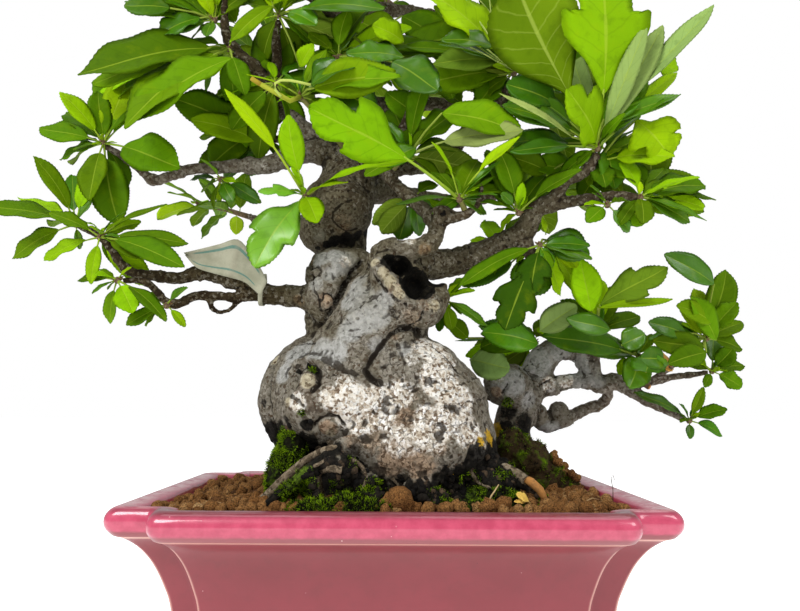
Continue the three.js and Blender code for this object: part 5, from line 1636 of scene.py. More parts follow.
# leaves with both ends of the blade given in the main view: pixels of its foot and tip, its depth in
# millimetres, width and look; a leaf stalk joins each to its shoot
placedLeaves = {
    "topLeftBig": [(232, 58, 128, 124, -50, 30, "b"), (200, 48, 92, 84, -30, 22, "b")],
    "topLeftSpur": [
        (170, 8, 124, 6, -40, 17, "d"), (200, 18, 160, 36, -30, 20, "d"), (214, -12, 236, 22, 0, 20, "m"),
    ],
    "leftUpTip": [(130, 98, 92, 84, 10, 26, "m")],
    "leftBack": [
        (247, 134, 173, 98, 2, 27, "m"), (258, 140, 191, 120, -8, 19, "b"),
        (248, 137, 210, 166, 6, 25, "m"), (252, 150, 198, 170, 22, 22, "m"),
        (240, 126, 226, 84, 20, 26, "m"),
    ],
    "topLeftFront": [
        (268, 30, 282, 80, 10, 32, "m"), (363, 54, 297, 18, 12, 28, "p"), (302, 9, 385, 9, -34, 21, "d"),
        (289, 12, 317, 25, -30, 17, "d"), (300, 67, 314, 44, -20, 12, "y"),
        (250, 4, 222, -20, 10, 24, "m"), (272, 6, 231, 41, -32, 12, "b"), (330, 2, 300, 48, 30, 26, "m"),
    ],
    "yellowShoot": [
        (312, 87, 344, 64, -46, 24, "d"), (314, 88, 396, 72, -58, 26, "b"),
        (330, 90, 378, 112, -20, 24, "d"), (322, 70, 352, 44, -10, 24, "m"),
    ],
    "darkMiddle": [
        (404, 57, 346, 54, -40, 17, "d"), (404, 42, 372, 25, -36, 18, "y"),
        (392, 62, 438, 91, -48, 27, "d"), (398, 54, 480, 36, 0, 28, "m"), (402, 16, 466, 62, 22, 32, "m"),
        (356, 20, 398, 46, 10, 28, "m"), (350, 78, 330, 34, 16, 24, "m"),
        (420, 78, 462, 104, 10, 24, "m"),
    ],
    "fruitSpur": [
        (494, 47, 441, 40, -56, 17, "d"), (502, 62, 432, 64, -34, 20, "p"),
        (494, 72, 424, 82, -24, 23, "b"), (504, 76, 478, 104, -16, 24, "m"),
        (442, 64, 453, 99, -10, 20, "m"), (500, 40, 458, 8, -6, 28, "m"),
        (506, 84, 528, 118, -8, 22, "m"),
    ],
    "centreArch": [
        (442, 113, 522, 135, -62, 24, "b"), (420, 120, 386, 92, -20, 20, "m"),
        (416, 148, 380, 164, -40, 14, "d"), (446, 168, 482, 196, -18, 20, "m"),
    ],
    "centreLobed": [(462, 196, 432, 214, -50, 9, "d")],
    "rightRosette": [
        (556, 104, 506, 84, -58, 25, "d"), (557, 127, 502, 105, -52, 19, "d"),
        (568, 143, 507, 144, -60, 18, "d"), (572, 137, 499, 93, -82, 4.5, "q"),
        (585, 84, 567, 42, -44, 22, "d"), (604, 119, 641, 100, -66, 16, "d"),
        (606, 123, 679, 95, -68, 11, "d"), (606, 150, 615, 189, -54, 18, "d"),
        (578, 173, 531, 165, -34, 19, "m"), (524, 188, 497, 154, -26, 21, "m"),
        (644, 60, 678, 71, -34, 26, "l"), (598, 120, 560, 66, -20, 26, "m"),
    ],
    "rightTwig": [(548, 172, 510, 156, -40, 16, "m"), (512, 200, 486, 182, -30, 18, "m")],
    "rightFork": [
        (546, 240, 590, 254, -36, 22, "d"), (540, 262, 522, 296, -30, 26, "d"),
        (512, 262, 462, 286, -8, 16, "d"), (553, 244, 577, 268, -34, 12, "y"),
    ],
    "clusterShoot": [
        (591, 312, 580, 258, -30, 19, "y"), (600, 305, 667, 267, -34, 21, "n"),
        (598, 308, 673, 299, -36, 6, "b"), (540, 331, 577, 306, -20, 18, "q"),
        (610, 330, 566, 318, -28, 14, "d"),
    ],
    "clusterGlossy": [
        (646, 372, 650, 352, -48, 22, "d"), (622, 345, 645, 334, -40, 16, "d"),
        (664, 360, 640, 358, -52, 15, "d"),
    ],
    "clusterRight": [
        (714, 284, 664, 254, 6, 18, "d"), (712, 322, 676, 306, 2, 16, "b"),
        (704, 348, 652, 340, -6, 17, "m"), (686, 334, 648, 322, -10, 13, "d"),
        (716, 340, 690, 296, 6, 18, "b"), (706, 352, 668, 364, -12, 16, "m"),
    ],
    "clusterBack": [
        (538, 344, 482, 332, -14, 22, "d"), (480, 348, 532, 330, 2, 20, "m"),
        (470, 360, 510, 368, 6, 22, "q"), (468, 338, 446, 318, 8, 12, "m"),
    ],
    "rightLowTip": [
        (640, 196, 600, 190, -36, 14, "m"), (626, 200, 642, 226, -30, 20, "b"),
        (642, 206, 704, 212, -36, 14, "b"),
    ],
    "rightRosetteLow": [
        (636, 120, 671, 158, -66, 36, "l"), (642, 128, 652, 182, -38, 27, "m"),
        (638, 187, 696, 178, -44, 15, "m"), (600, 168, 580, 200, -40, 16, "m"),
    ],
}
leaf = {
    "stalk": 0.22,  # the bare part of the whole length
    "thickness": 0.34,
    "arch": 0.07,
    "columns": (-1, -0.7, -0.36, -0.05, 0.05, 0.36, 0.7, 1),
    "tooth": 2.3,  # millimetres from tooth to tooth
    "toothDepth": 0.17,
    # outlines, as half widths at places along the blade
    "plain": ((0, 0.03), (0.06, 0.30), (0.14, 0.56), (0.24, 0.79), (0.36, 0.95), (0.48, 1.0), (0.60, 0.98),
              (0.72, 0.88), (0.82, 0.71), (0.90, 0.48), (0.96, 0.25), (1, 0.02)),
    "lobed": ((0, 0.03), (0.06, 0.16), (0.14, 0.33), (0.24, 0.54), (0.34, 0.77), (0.41, 0.92), (0.47, 1.0),
              (0.52, 0.98), (0.56, 0.85), (0.59, 0.66), (0.62, 0.60), (0.68, 0.65), (0.75, 0.67),
              (0.82, 0.62),
              (0.89, 0.48), (0.95, 0.28), (1, 0.02)),
    "wedge": ((0, 0.03), (0.08, 0.16), (0.18, 0.36), (0.30, 0.60), (0.42, 0.82), (0.54, 0.96), (0.64, 1.0),
              (0.76, 0.93), (0.86, 0.74), (0.94, 0.42), (1, 0.02)),
    "fillers": 5,  # small leaves added inside each rosette
    "branchlet": 14,  # leaves along each twig of the crown
    "seed": 7,
}


def unit(vector):
    return vector / max(float(np.linalg.norm(vector)), 1e-9)


def scatter(number):
    value = math.sin(number * 12.9898) * 43758.5453
    return value - math.floor(value)


def bladeWidth(t, outline):
    # half width along the blade, 1 at its widest
    places, widths = zip(*leaf[outline])
    return np.interp(t, places, widths)


def pixelPlace(u, v, y):
    # the place at depth y, in millimetres, that the main view shows at a pixel
    ray = np.array(pixelRay(u, v))
    start = np.array(view["place"])
    return start + ray * (y - start[1]) / ray[1]


def gridFaces(rows, columns, offset=0):
    # quads of a sheet, row by row
    faces = []
    for row in range(rows - 1):
        for column in range(columns - 1):
            a = offset + row * columns + column
            faces.append((a, a + 1, a + columns + 1, a + columns))
    return faces


class Bundle:
    # one shoot's mesh, put together leaf by leaf
    def __init__(self):
        self.points, self.faces = [], []
        self.under, self.along, self.across = [], [], []
        self.colour, self.gloss, self.woody = [], [], []
        self.count = 0

    def put(self, points, faces, under, uv, colour, gloss, woody):
        self.faces += [tuple(self.count + k for k in face) for face in faces]
        self.points.append(points)
        self.under += under
        self.along += [uv[k][1] for face in faces for k in face]
        self.across += [uv[k][0] for face in faces for k in face]
        self.colour.append(np.tile((*colour, 1), (len(points), 1)))
        self.gloss.append(np.full(len(points), gloss))
        self.woody.append(np.full(len(points), woody))
        self.count += len(points)

    def piece(self, name):
        made = meshPiece(name, np.concatenate(self.points) * mm, self.faces)
        mesh = made.data
        layer = mesh.attributes.new("tone", "FLOAT_COLOR", "POINT")
        layer.data.foreach_set("color", np.concatenate(self.colour).astype(np.float32).ravel())
        paint(mesh, "gloss", np.concatenate(self.gloss))
        paint(mesh, "woody", np.concatenate(self.woody))
        under = mesh.attributes.new("under", "FLOAT", "CORNER")
        corners = [len(face) for face in self.faces]
        under.data.foreach_set("value", np.repeat(self.under, corners).astype(np.float32))
        places = mesh.uv_layers.new(name="blade")
        flat = np.stack([self.across, self.along], 1).astype(np.float32)
        places.data.foreach_set("uv", flat.ravel())
        return made


def addTube(bundle, route, colour, gloss=0.3, woody=0.0, sides=6):
    # a closed stalk through [x, y, z, radius] places
    places = np.array([point[:3] for point in route], float)
    radii = [point[3] for point in route]
    rings, guide = [], np.array((0.31, 0.17, 0.93))
    for k, place in enumerate(places):
        ahead = places[min(k + 1, len(places) - 1)] - places[max(k - 1, 0)]
        side = unit(np.cross(ahead, guide))
        up = unit(np.cross(side, ahead))
        turns = np.arange(sides) * 2 * math.pi / sides
        rings.append(place + radii[k] * (np.outer(np.cos(turns), side) + np.outer(np.sin(turns), up)))
    points = np.concatenate(rings + [places[:1], places[-1:]])
    faces, last = [], (len(places) - 1) * sides
    for ring in range(len(places) - 1):
        for k in range(sides):
            a, b = ring * sides + k, ring * sides + (k + 1) % sides
            faces.append((a, b, b + sides, a + sides))
    for k in range(sides):
        faces.append(((k + 1) % sides, k, len(points) - 2))
        faces.append((last + k, last + (k + 1) % sides, len(points) - 1))
    along = [0.5] * len(points)
    bundle.put(points, faces, [0.0] * len(faces), list(zip(along, along)), colour, gloss, woody)


def addLeaf(bundle, base, tip, facing, width, stalk, look, dice, fine=True):
    tone, spread, gloss, outline = leafLooks[look]
    chord = tip - base
    long = float(np.linalg.norm(chord))
    ahead = chord / long
    upward = unit(facing - ahead * float(facing @ ahead))
    roll = math.radians(dice.gauss(0, 7))
    side = np.cross(ahead, upward)
    rollSine, rollCosine = math.sin(roll), math.cos(roll)
    upward, side = upward * rollCosine + side * rollSine, side * rollCosine - upward * rollSine
    rows = max(14, min(46, 2 * round(long * (1 - stalk) / leaf["tooth"]))) if fine else 12
    columns = np.array(leaf["columns"])
    fold = math.radians(dice.uniform(8, 24) if look not in "gulkn" else dice.uniform(3, 10))
    waves, phase = dice.uniform(1.2, 2.6), dice.uniform(0, 6.28)
    ripple = dice.uniform(0.03, 0.09) * width
    twist = math.radians(dice.uniform(-16, 16))
    sway = dice.uniform(-0.035, 0.035) * long
    nod = dice.uniform(0.0, 0.05) * long
    t = np.linspace(0, 1, rows + 1)
    half = width / 2 * (1.25 if outline == "lobed" else 1.20)

    def spine(s):
        # the midline, from the foot of the stalk at 0 to the leaf's tip at 1
        s = np.asarray(s, float)[:, None]
        bend = leaf["arch"] * long * np.sin(np.pi * s)
        line = base + chord * s + upward * bend + side * sway * np.sin(np.pi * s) * s
        return line + np.array((0, 0, -1.0)) * nod * (s ** 3 * (1 - s) * 4)

    s = stalk + (1 - stalk) * t
    line = spine(s)
    tangent = spine(np.minimum(s + 0.01, 1)) - spine(np.maximum(s - 0.01, 0))
    tangent /= np.linalg.norm(tangent, axis=1)[:, None]
    turned = (twist * (t - 0.4))[:, None]
    across = np.cross(tangent, upward)
    across /= np.linalg.norm(across, axis=1)[:, None]
    normal = np.cross(across, tangent)
    cosine, sine = np.cos(turned), np.sin(turned)
    across, normal = across * cosine + normal * sine, normal * cosine - across * sine
    tooth = np.where(np.arange(rows + 1) % 2 == 1, 1.0, -1.0) * (t > 0.04) * (t < 0.98)
    depth = leaf["toothDepth"] * (0.7 + width / 60) if fine else 0.15
    smooth = bladeWidth(t, outline) * half
    rim = smooth + depth * tooth
    rim[0] = rim[-1] = 0.05
    smooth[0] = smooth[-1] = 0.05
    columnCount = len(columns)
    layers = []
    for sign in (1, -1):
        sheet = np.empty((rows + 1, columnCount, 3))
        for k, c in enumerate(columns):
            out = np.abs(c) * (smooth + (rim - smooth) * abs(c) ** 4)
            lift = out * math.sin(fold) * (1 - 0.25 * abs(c))
            wave = ripple * np.sin(2 * np.pi * waves * t + phase + (1.7 if c > 0 else 0)) * abs(c) ** 2
            vein = 0.22 * np.sin(2 * np.pi * (t * 7 - abs(c) * 1.6)) * (1 - abs(c)) * abs(c) * (width > 12)
            thick = leaf["thickness"] * 0.5 * (1 - abs(c) ** 6)
            rib = 0.45 if abs(c) < 0.1 and sign < 0 else 0
            groove = -0.12 if abs(c) < 0.1 and sign > 0 else 0
            up = lift + wave * smoothstep(0, 0.2, t) + vein + sign * thick + (groove - rib) * (1 - t)
            forward = depth * 1.4 * tooth * abs(c) ** 6
            if outline == "lobed":
                # side lobes reach forward
                forward = forward + long * 0.07 * np.exp(-(((t - 0.51) / 0.06) ** 2)) * abs(c) ** 2
            slip = tangent * forward[:, None]
            sideways = np.sign(c) * out * math.cos(fold)
            sheet[:, k] = line + across * sideways[:, None] + normal * up[:, None] + slip
        layers.append(sheet)
    top, bottom = layers
    rim3 = (top[:, [0, -1]] + bottom[:, [0, -1]]) / 2
    top[:, [0, -1]] = rim3
    inner = columnCount - 2
    points = np.concatenate([top.reshape(-1, 3), bottom[:, 1:-1].reshape(-1, 3)])
    started = (rows + 1) * columnCount

    def below(row, column):
        # the underside shares its two edges with the upper side
        if column in (0, columnCount - 1):
            return row * columnCount + column
        return started + row * inner + column - 1

    faces = gridFaces(rows + 1, columnCount)
    under = [0.0] * len(faces)
    for row in range(rows):
        for column in range(columnCount - 1):
            faces.append((below(row, column), below(row + 1, column), below(row + 1, column + 1),
                          below(row, column + 1)))
            under.append(1.0)
    for row, flipped in ((0, False), (rows, True)):
        for column in range(columnCount - 1):
            ring = [row * columnCount + column, below(row, column), below(row, column + 1),
                    row * columnCount + column + 1]
            ring = [k for at, k in enumerate(ring) if k not in ring[:at]]
            faces.append(tuple(reversed(ring)) if flipped else tuple(ring))
            under.append(0.5)
    uv = [(float(c) * 0.5 + 0.5, float(v)) for v in t for c in columns]
    uv += [(float(c) * 0.5 + 0.5, float(v)) for v in t for c in columns[1:-1]]
    lightness = 1 + spread * dice.uniform(-1, 1)
    warm = dice.uniform(0.88, 1.14)
    tone = (tone[0] * lightness * warm, tone[1] * lightness, tone[2] * lightness)
    bundle.put(points, faces, under, uv, tone, min(1, max(0, gloss + dice.uniform(-0.15, 0.15))), 0.0)
    if stalk > 0.02:
        pale = (tone[0] * 0.7 + 0.10, tone[1] * 0.6 + 0.14, tone[2] + 0.03)
        thin = 0.42 + long * 0.006
        steps = np.linspace(0, stalk + 0.03, 5)
        route = [(*place, thin * (1.25 - 0.5 * k / 4)) for k, place in enumerate(spine(steps))]
        addTube(bundle, route, pale, 0.4, 0.0, 5 if fine else 4)


def addBud(bundle, place, radius, dice):
    # a knob of scales, with a few scale tips round it
    x, y, z = place
    brown = (0.10, 0.062, 0.035)
    addTube(bundle, [(x, y, z - radius, radius * 0.5), (x, y, z - radius * 0.5, radius * 0.95),
                     (x + 0.3, y, z + radius * 0.2, radius), (x, y, z + radius * 0.8, radius * 0.55)],
            brown, 0.2, 1.0, 7)
    for _ in range(4):
        turn, lift = dice.uniform(0, 6.28), dice.uniform(0.1, 0.9)
        way = np.array((math.cos(turn), math.sin(turn), lift)) * radius
        start = np.array(place) + way * 0.5
        end = np.array(place) + way * dice.uniform(1.5, 2.1)
        addTube(bundle, [(*start, radius * 0.45), (*(start * 0.4 + end * 0.6), radius * 0.3), (*end, 0.15)],
                (0.13, 0.075, 0.03), 0.2, 1.0, 5)


def makeShoot(key, shoot, dice):
    bundle = Bundle()
    base = np.array(shoot["at"], float)
    for dx, dy, dz, width, face, look, *stalk in shoot["leaves"]:
        lean = math.radians(face)
        facing = np.array((0, -math.sin(lean), math.cos(lean)))
        tip = base + (dx, dy, dz)
        addLeaf(bundle, base, tip, facing, width, stalk[0] if stalk else leaf["stalk"], look, dice)
    for u, v, behind, look in moreLeaves.get(key, ()):
        tip = pixelPlace(u, v, base[1] + behind)
        width = min(20, max(9, 0.36 * float(np.linalg.norm(tip - base))))
        facing = np.array((0, 0.82 if look == "p" else -0.82, 0.57))
        addLeaf(bundle, base, tip, facing, width, 0.12, look, dice)
    for u, v, tipU, tipV, depth, width, look in placedLeaves.get(key, ()):
        facing = np.array((0, -0.96, 0.28))
        foot = pixelPlace(u, v, depth)
        addLeaf(bundle, foot, pixelPlace(tipU, tipV, depth - 8), facing, width, 0.0, look, dice)
        bend = (base + foot) / 2 + (0, 1.5, 2.5)
        addTube(bundle, [(*base, 1.0), (*bend, 0.8), (*foot, 0.7)], (0.20, 0.27, 0.05), 0.3, 0.0, 5)
    mean = unit(np.mean([unit(np.array(l[:3], float)) for l in shoot["leaves"]], axis=0))
    for _ in range(leaf["fillers"]):
        way = unit(mean * 0.5 + np.array([dice.gauss(0, 0.7), dice.gauss(0, 0.6), dice.gauss(0.25, 0.5)]))
        long = dice.uniform(9, 24)
        facing = unit(np.array((dice.gauss(0, 0.3), -0.6, 0.8)))
        look = dice.choice("yymd")
        addLeaf(bundle, base, base + way * long, facing, long * dice.uniform(0.26, 0.4), 0.2, look, dice)
    addBud(bundle, base, 2.4, dice)
    if "stem" in shoot:
        start, end = np.array(shoot["stem"], float), base
        middle = (start + end) / 2 + (0, 0, 1.5)
        addTube(bundle, [(*start, 2.2), (*middle, 2.0), (*end, 1.8)], (0.16, 0.15, 0.05), 0.3, 0.6)
    return bundle


def makeBranchlet(branchlet, seed, dice):
    bundle = Bundle()
    start, end = np.array(branchlet[0], float), np.array(branchlet[1], float)
    reach = end - start
    axis = unit(reach)
    side = np.cross((0, 0, 1.0), axis)
    side = unit(side) if np.linalg.norm(side) >= 0.5 else np.array((1.0, 0, 0))
    across = np.cross(axis, side)
    count = leaf["branchlet"]
    for k in range(count):
        t = k / (count - 1)
        turn = math.radians(137.5 * k + 40 * seed)
        tilt = math.radians(82 - 48 * t + 14 * (scatter(seed * 31 + k) - 0.5))
        long = branchlet[2] * (0.75 + 0.4 * scatter(seed * 17 + k + 5))
        heading = axis * math.cos(tilt) + math.sin(tilt) * (side * math.cos(turn) + across * math.sin(turn))
        heading[2] = heading[2] * 0.7 - 0.06
        heading = unit(heading)
        base = start + reach * (0.2 + 0.8 * t)
        facing = unit(np.array((heading[0] * 0.25, heading[1] * 0.25, 1)))
        width = long * (0.34 + 0.1 * scatter(seed * 7 + k))
        look = dice.choice("yymmmmdd")
        addLeaf(bundle, base, base + heading * long, facing, width, 0.14, look, dice, fine=False)
    middle = (start + end) / 2 + (1.2, 0.8, 1.5)
    addTube(bundle, [(*start, 2.6), (*middle, 2.1), (*end, 1.6)], (0.11, 0.075, 0.045), 0.2, 1.0)
    addBud(bundle, end, 2.4, dice)
    return bundle


def leafFinish():
    f = Finish("leaf_green")
    tone = f.add("ShaderNodeAttribute", {"attribute_name": "tone"}, {}, "Color")
    gloss, woody, under = f.layer("gloss"), f.layer("woody"), f.layer("under")
    places = f.add("ShaderNodeUVMap", {"uv_map": "blade"}, {}, "UV")
    split = f.part("X", places)
    along = f.part("Y", places)
    across = abs(split - 0.5) * 2
    soft = f.noise(9, 3)
    fine = f.noise(1.6, 3, 0.6)
    # the side veins lean towards the tip
    run = (along - across * 0.20 + (soft - 0.5) * 0.05) * 7
    vein = f.add("ShaderNodeMath", {"operation": "PINGPONG"}, {0: run, 1: 0.5})
    veinLine = (1 - vein.step(0.0, 0.09)) * (1 - across.step(0.75, 0.98))
    rib = 1 - across.step(0.02, 0.06)
    # painted shade: one half of each blade darker, as if folded away from the light
    shade = split.step(0.48, 0.52)
    lines = (veinLine * 0.45 + rib).clamp()
    paper = under.step(0.4, 0.6) * (1 - woody)
    deep = f.mix(0.45, tone, (0.012, 0.035, 0.0005))
    warm = f.mix(0.5, tone, (0.30, 0.36, 0.002))
    upper = f.mix((soft - 0.5).step(0.02, 0.25) * 0.25, tone, warm)
    upper = f.mix((0.5 - soft).step(0.02, 0.2) * 0.5, upper, deep)
    upper = f.mix(veinLine * 0.35, upper, deep)
    upper = f.mix(shade * 0.24, upper, deep)
    upper = f.mix(rib * 0.34, upper, (0.34, 0.45, 0.035))
    lower = f.mix(0.22, tone, (0.20, 0.27, 0.010))
    lower = f.mix(shade * 0.34, lower, deep)
    lower = f.mix((0.5 - soft).step(0.0, 0.2) * 0.35, lower, deep)
    lower = f.mix(veinLine * 0.30, lower, (0.30, 0.40, 0.05))
    lower = f.mix(rib * 0.5, lower, (0.36, 0.46, 0.07))
    colour = f.mix(paper, upper, lower)
    bark = f.mix(fine.step(0.4, 0.65), tone, (0.20, 0.15, 0.085))
    colour = f.mix(woody, colour, bark)
    sheet = f.bump(vein * 0.7 - rib * 0.5 + fine * 0.08, 0.4, 0.55)
    back = f.bump(lines * 0.8 + fine * 0.08, 0.4, 0.6)
    lift = f.mix(paper, sheet, back)
    coat = gloss.step(0.5, 0.9) * (1 - paper) * 0.6
    rough = 0.68 - gloss * 0.25
    shader = {"Base Color": colour, "Roughness": rough, "Normal": lift, "Specular IOR Level": 0.04,
              "Coat Weight": coat, "Coat Roughness": 0.3}
    return f.done(f.shader(shader))


def finishLeaves(bundle, key):
    name = re.sub("[A-Z]", lambda found: "_" + found.group().lower(), key)
    finishPiece(bundle.piece("leaves_" + name), greenLeaf, ["shoot_" + name])


def makeLeaves():
    seed = leaf["seed"]
    for number, (key, shoot) in enumerate(shoots.items()):
        finishLeaves(makeShoot(key, shoot, random.Random(seed + number)), key)
    for number, (key, branchlet) in enumerate(branchlets.items()):
        finishLeaves(makeBranchlet(branchlet, number + 1, random.Random(seed + 100 + number)), key)


greenLeaf = leafFinish()
makeLeaves()
print("leaves made")


# moss, crust and the small things
moss = {
    "seed": 23,
    "voxel": 1.5,
    "tuft": (1.4, 3.6),  # height of a tuft
    # lobes as x, y, z and three radii; tufts to a square centimetre; how many of them are green
    "cushions": {
        "left": ([[-72, -57, 118, 12, 15, 20], [-67, -62, 136, 8, 8, 13], [-78, -68, 101, 9, 16, 6]],
                 40, 0.95),
        "front": ([[-46, -101, 101, 20, 9, 7], [-30, -101, 103, 9, 8, 8], [-14, -101, 101, 18, 9, 7]],
                  46, 0.6),
        "right": ([[42, -92, 101, 26, 11, 6], [66, -84, 106, 13, 11, 8]], 40, 0.35),
        "back": ([[106, 20, 112, 22, 15, 17], [124, 40, 105, 20, 22, 9], [101, 16, 123, 17, 13, 17],
                  [88, 14, 132, 14, 12, 14]], 12, 0.45),
    },
    # moss that creeps over the wood: pixel of the main view, reach in pixels, tufts, how green
    "creeping": [
        (288, 436, 9, 70, 1), (281, 452, 9, 80, 1), (294, 462, 11, 90, 1), (275, 472, 8, 60, 1),
        (302, 449, 7, 40, 0.8), (284, 486, 11, 70, 0.9), (304, 496, 10, 60, 0.8), (320, 503, 9, 60, 0.9),
        (337, 486, 9, 40, 0.5), (372, 486, 8, 50, 0.8), (360, 496, 9, 50, 0.7), (352, 462, 6, 30, 0.6),
        (388, 497, 8, 40, 0.6), (520, 440, 10, 60, 0.6), (532, 456, 9, 60, 0.6), (515, 468, 9, 40, 0.5),
        (470, 480, 12, 60, 0.4), (440, 494, 12, 50, 0.4), (500, 474, 6, 30, 0.6), (486, 494, 9, 50, 0.6),
        (547, 500, 7, 40, 0.9), (312, 371, 3, 14, 1), (508, 402, 5, 30, 0.8), (302, 412, 3, 12, 0.8),
        (314, 480, 8, 40, 0.4),
    ],
}
crust = {
    "seed": 12,
    "small": 0.9,
    "large": 2.9,
    # pixel of the main view, reach in pixels, clumps
    "spots": [
        (310, 476, 8, 18), (328, 464, 7, 18), (344, 466, 8, 18), (330, 490, 12, 24), (335, 478, 9, 18),
        (318, 490, 7, 12), (300, 444, 5, 8), (355, 466, 8, 16), (400, 480, 6, 10), (425, 486, 8, 14),
        (448, 480, 8, 14), (352, 482, 10, 18), (370, 478, 8, 14), (375, 496, 9, 16), (395, 490, 9, 18),
        (415, 497, 10, 20), (438, 498, 10, 20), (458, 490, 10, 20), (478, 478, 10, 20), (492, 462, 8, 16),
        (505, 484, 10, 18), (520, 470, 10, 16), (538, 468, 9, 14), (500, 500, 10, 14), (530, 494, 9, 14),
        (268, 452, 5, 10), (310, 425, 4, 6), (290, 428, 4, 8),
    ],
    "sag": 4,
    # thin roots that cross it: radius in millimetres, how black, then pixels
    "roots": [
        (3.0, 0.0, [(263, 500), (273, 490), (285, 478), (297, 467), (309, 458), (322, 451), (337, 446)]),
        (3.1, 0.0, [(526, 480), (518, 474), (510, 469), (502, 464)]),
        (2.2, 0.42, [(342, 470), (330, 469), (319, 473), (320, 485), (324, 496), (334, 502)]),
        (1.5, 0.42, [(352, 460), (361, 466), (366, 478), (362, 490)]),
        (1.2, 0.42, [(470, 470), (478, 482), (490, 488), (497, 496)]),
        (1.3, 0.42, [(303, 463), (313, 466), (322, 462), (331, 456)]),
        (1.0, 0.42, [(392, 478), (400, 488), (398, 498)]),
    ],
}
tag = {
    # along the strip: x and z of its upper and of its lower edge
    "edges": [(-145, 266.3, -144, 264.8), (-133, 269.8, -136.5, 256.6), (-121, 273.2, -126, 253),
              (-109, 276.4, -114.5, 250), (-99.5, 266.5, -104, 247), (-92.5, 256, -97.5, 242),
              (-88, 247.5, -92.5, 237.5)],
    "depth": -53.6,
    "curl": 2.4,
    "thickness": 0.4,
    "loop": (-92.5, -43, 243, 8.6, 3.0),  # centre, radius and width
    "stretch": 1.28,
}
fruit = {
    "spur": (513, 70, -34),  # pixel and depth
    # how far in front, radius, the pixels of the stalk from its end to the spur, and what it carries
    "stalks": [
        (-50, 0.62, [(466, 3), (486, 31), (503, 57)], 2.5), (-47, 0.6, [(463, -9), (471, 9), (492, 29)], 2.3),
        (-44, 0.42, [(489, -4), (491, 14), (503, 33)], 0), (-50, 0.5, [(454, 40), (470, 47), (484, 54)], 0),
        (-49, 0.5, [(481, 44), (493, 54), (502, 61)], 0), (-46, 0.55, [(453, 20), (458, 31), (474, 44)], 1.9),
        (-42, 0.4, [(468, -12), (484, 5), (500, 24)], 1.6),
    ],
}


def seenOn(trees, u, v):
    # the nearest place that the main view shows on any of the given trees
    camera = np.array(view["place"]) * mm
    found = [seenPlace(tree, u, v) for tree in trees]
    found = [pair for pair in found if pair[0] is not None]
    return min(found, key=lambda pair: np.linalg.norm(pair[0] - camera)) if found else (None, None)


def standing(normal, spin):
    # turns z to the normal, after a spin
    lean = Vector((0, 0, 1)).rotation_difference(Vector(normal)).to_matrix()
    return np.array(lean @ Matrix.Rotation(spin, 3, "Z"))


def tuftKind(dice, blades=4):
    points, faces, tips = [], [], []
    for k in range(blades):
        turn = 2 * math.pi * k / blades + dice.uniform(-0.5, 0.5)
        lean = dice.uniform(0.25, 0.85)
        away = np.array((math.cos(turn), math.sin(turn), 0))
        beside = np.array((-away[1], away[0], 0))
        end = away * math.sin(lean) + np.array((0, 0, math.cos(lean))) * dice.uniform(0.8, 1.2)
        start = len(points)
        points += [away * 0.02 - beside * 0.16, away * 0.02 + beside * 0.16, away * 0.26, end]
        faces += [tuple(start + k for k in corner) for corner in ((0, 1, 3), (1, 2, 3), (2, 0, 3), (0, 2, 1))]
        tips += [0, 0, 0, 1]
    return np.array(points), faces, np.array(tips, float)


def addTuft(heap, kinds, place, normal, green, dice):
    points, faces, tips = dice.choice(kinds)
    size = dice.uniform(*moss["tuft"]) * mm
    placed = points @ standing(normal, dice.uniform(0, 6.3)).T * size + place - np.array(normal) * 0.2 * mm
    bright = dice.uniform(0.55, 1.0) if dice.random() < green else dice.uniform(0.1, 0.32)
    heap.put(placed, faces, tips * bright)


def mossFinish(name, ground):
    f = Finish(name)
    tone = f.layer("tone")
    patch = f.noise(8, 4, 0.6)
    fine = f.noise(1.1, 4, 0.7)
    level = (tone * 0.9 + (patch - 0.5) * 1.1 + (fine - 0.5) * 0.2).clamp()
    colour = f.ramp(level, [(0.0, ground), (0.12, ground), (0.32, (0.070, 0.130, 0.003)),
                            (0.58, (0.23, 0.40, 0.004)), (1.0, (0.50, 0.66, 0.015))])
    # painted shade: near black in the hollows among the tuft bases
    hollow = (patch * 0.5 + fine * 0.5).step(0.5, 0.36) * tone.step(0.25, 0.1)
    colour = f.mix(hollow, colour, (0.003, 0.003, 0.002))
    bump = f.bump(fine, 0.8)
    return f.plain(colour, 0.92, bump, 0.1)


def makeCushion(name, lobes, density, green, finish, kinds, dice):
    body = joinPieces([addBall(*lobe, 20, 12) for lobe in lobes], "moss_" + name + "_cushion")
    remesh(body, moss["voxel"])
    groupAll(body)
    displace(body, "lumps", "CLOUDS", 9, 4.0, "all", noise_depth=1)
    displace(body, "crumbs", "CLOUDS", 2.6, 1.8, "all", noise_depth=2)
    applyAll(body)
    points, normals = readPoints(body.data), readNormals(body.data)
    sizes = np.array([face.area for face in body.data.polygons])
    paint(body.data, "tone", 0.05 + 0.12 * np.array([scatter(k) for k in range(len(points))]))
    heap = Heap()
    share = density * sizes.sum() * 1e4 / len(points)
    for place, normal in zip(points, normals):
        under = soilTree.ray_cast(Vector(place), Vector((0, 0, 1)))[0]
        x, y, z = place / mm
        worn = math.sin(x * 0.23 + z * 0.11) + math.sin(z * 0.31 - y * 0.2 + 1) + 0.6 * math.sin(x * 0.7 + y)
        bare = worn > 0.75
        if under is None and not bare and normal[2] > -0.4 and dice.random() < share:
            addTuft(heap, kinds, place, normal, green, dice)
    tufts = heap.piece("moss_tufts")
    piece = joinPieces([body, tufts], body.name)
    return finishPiece(piece, finish, ["moss_" + name], smooth=False)


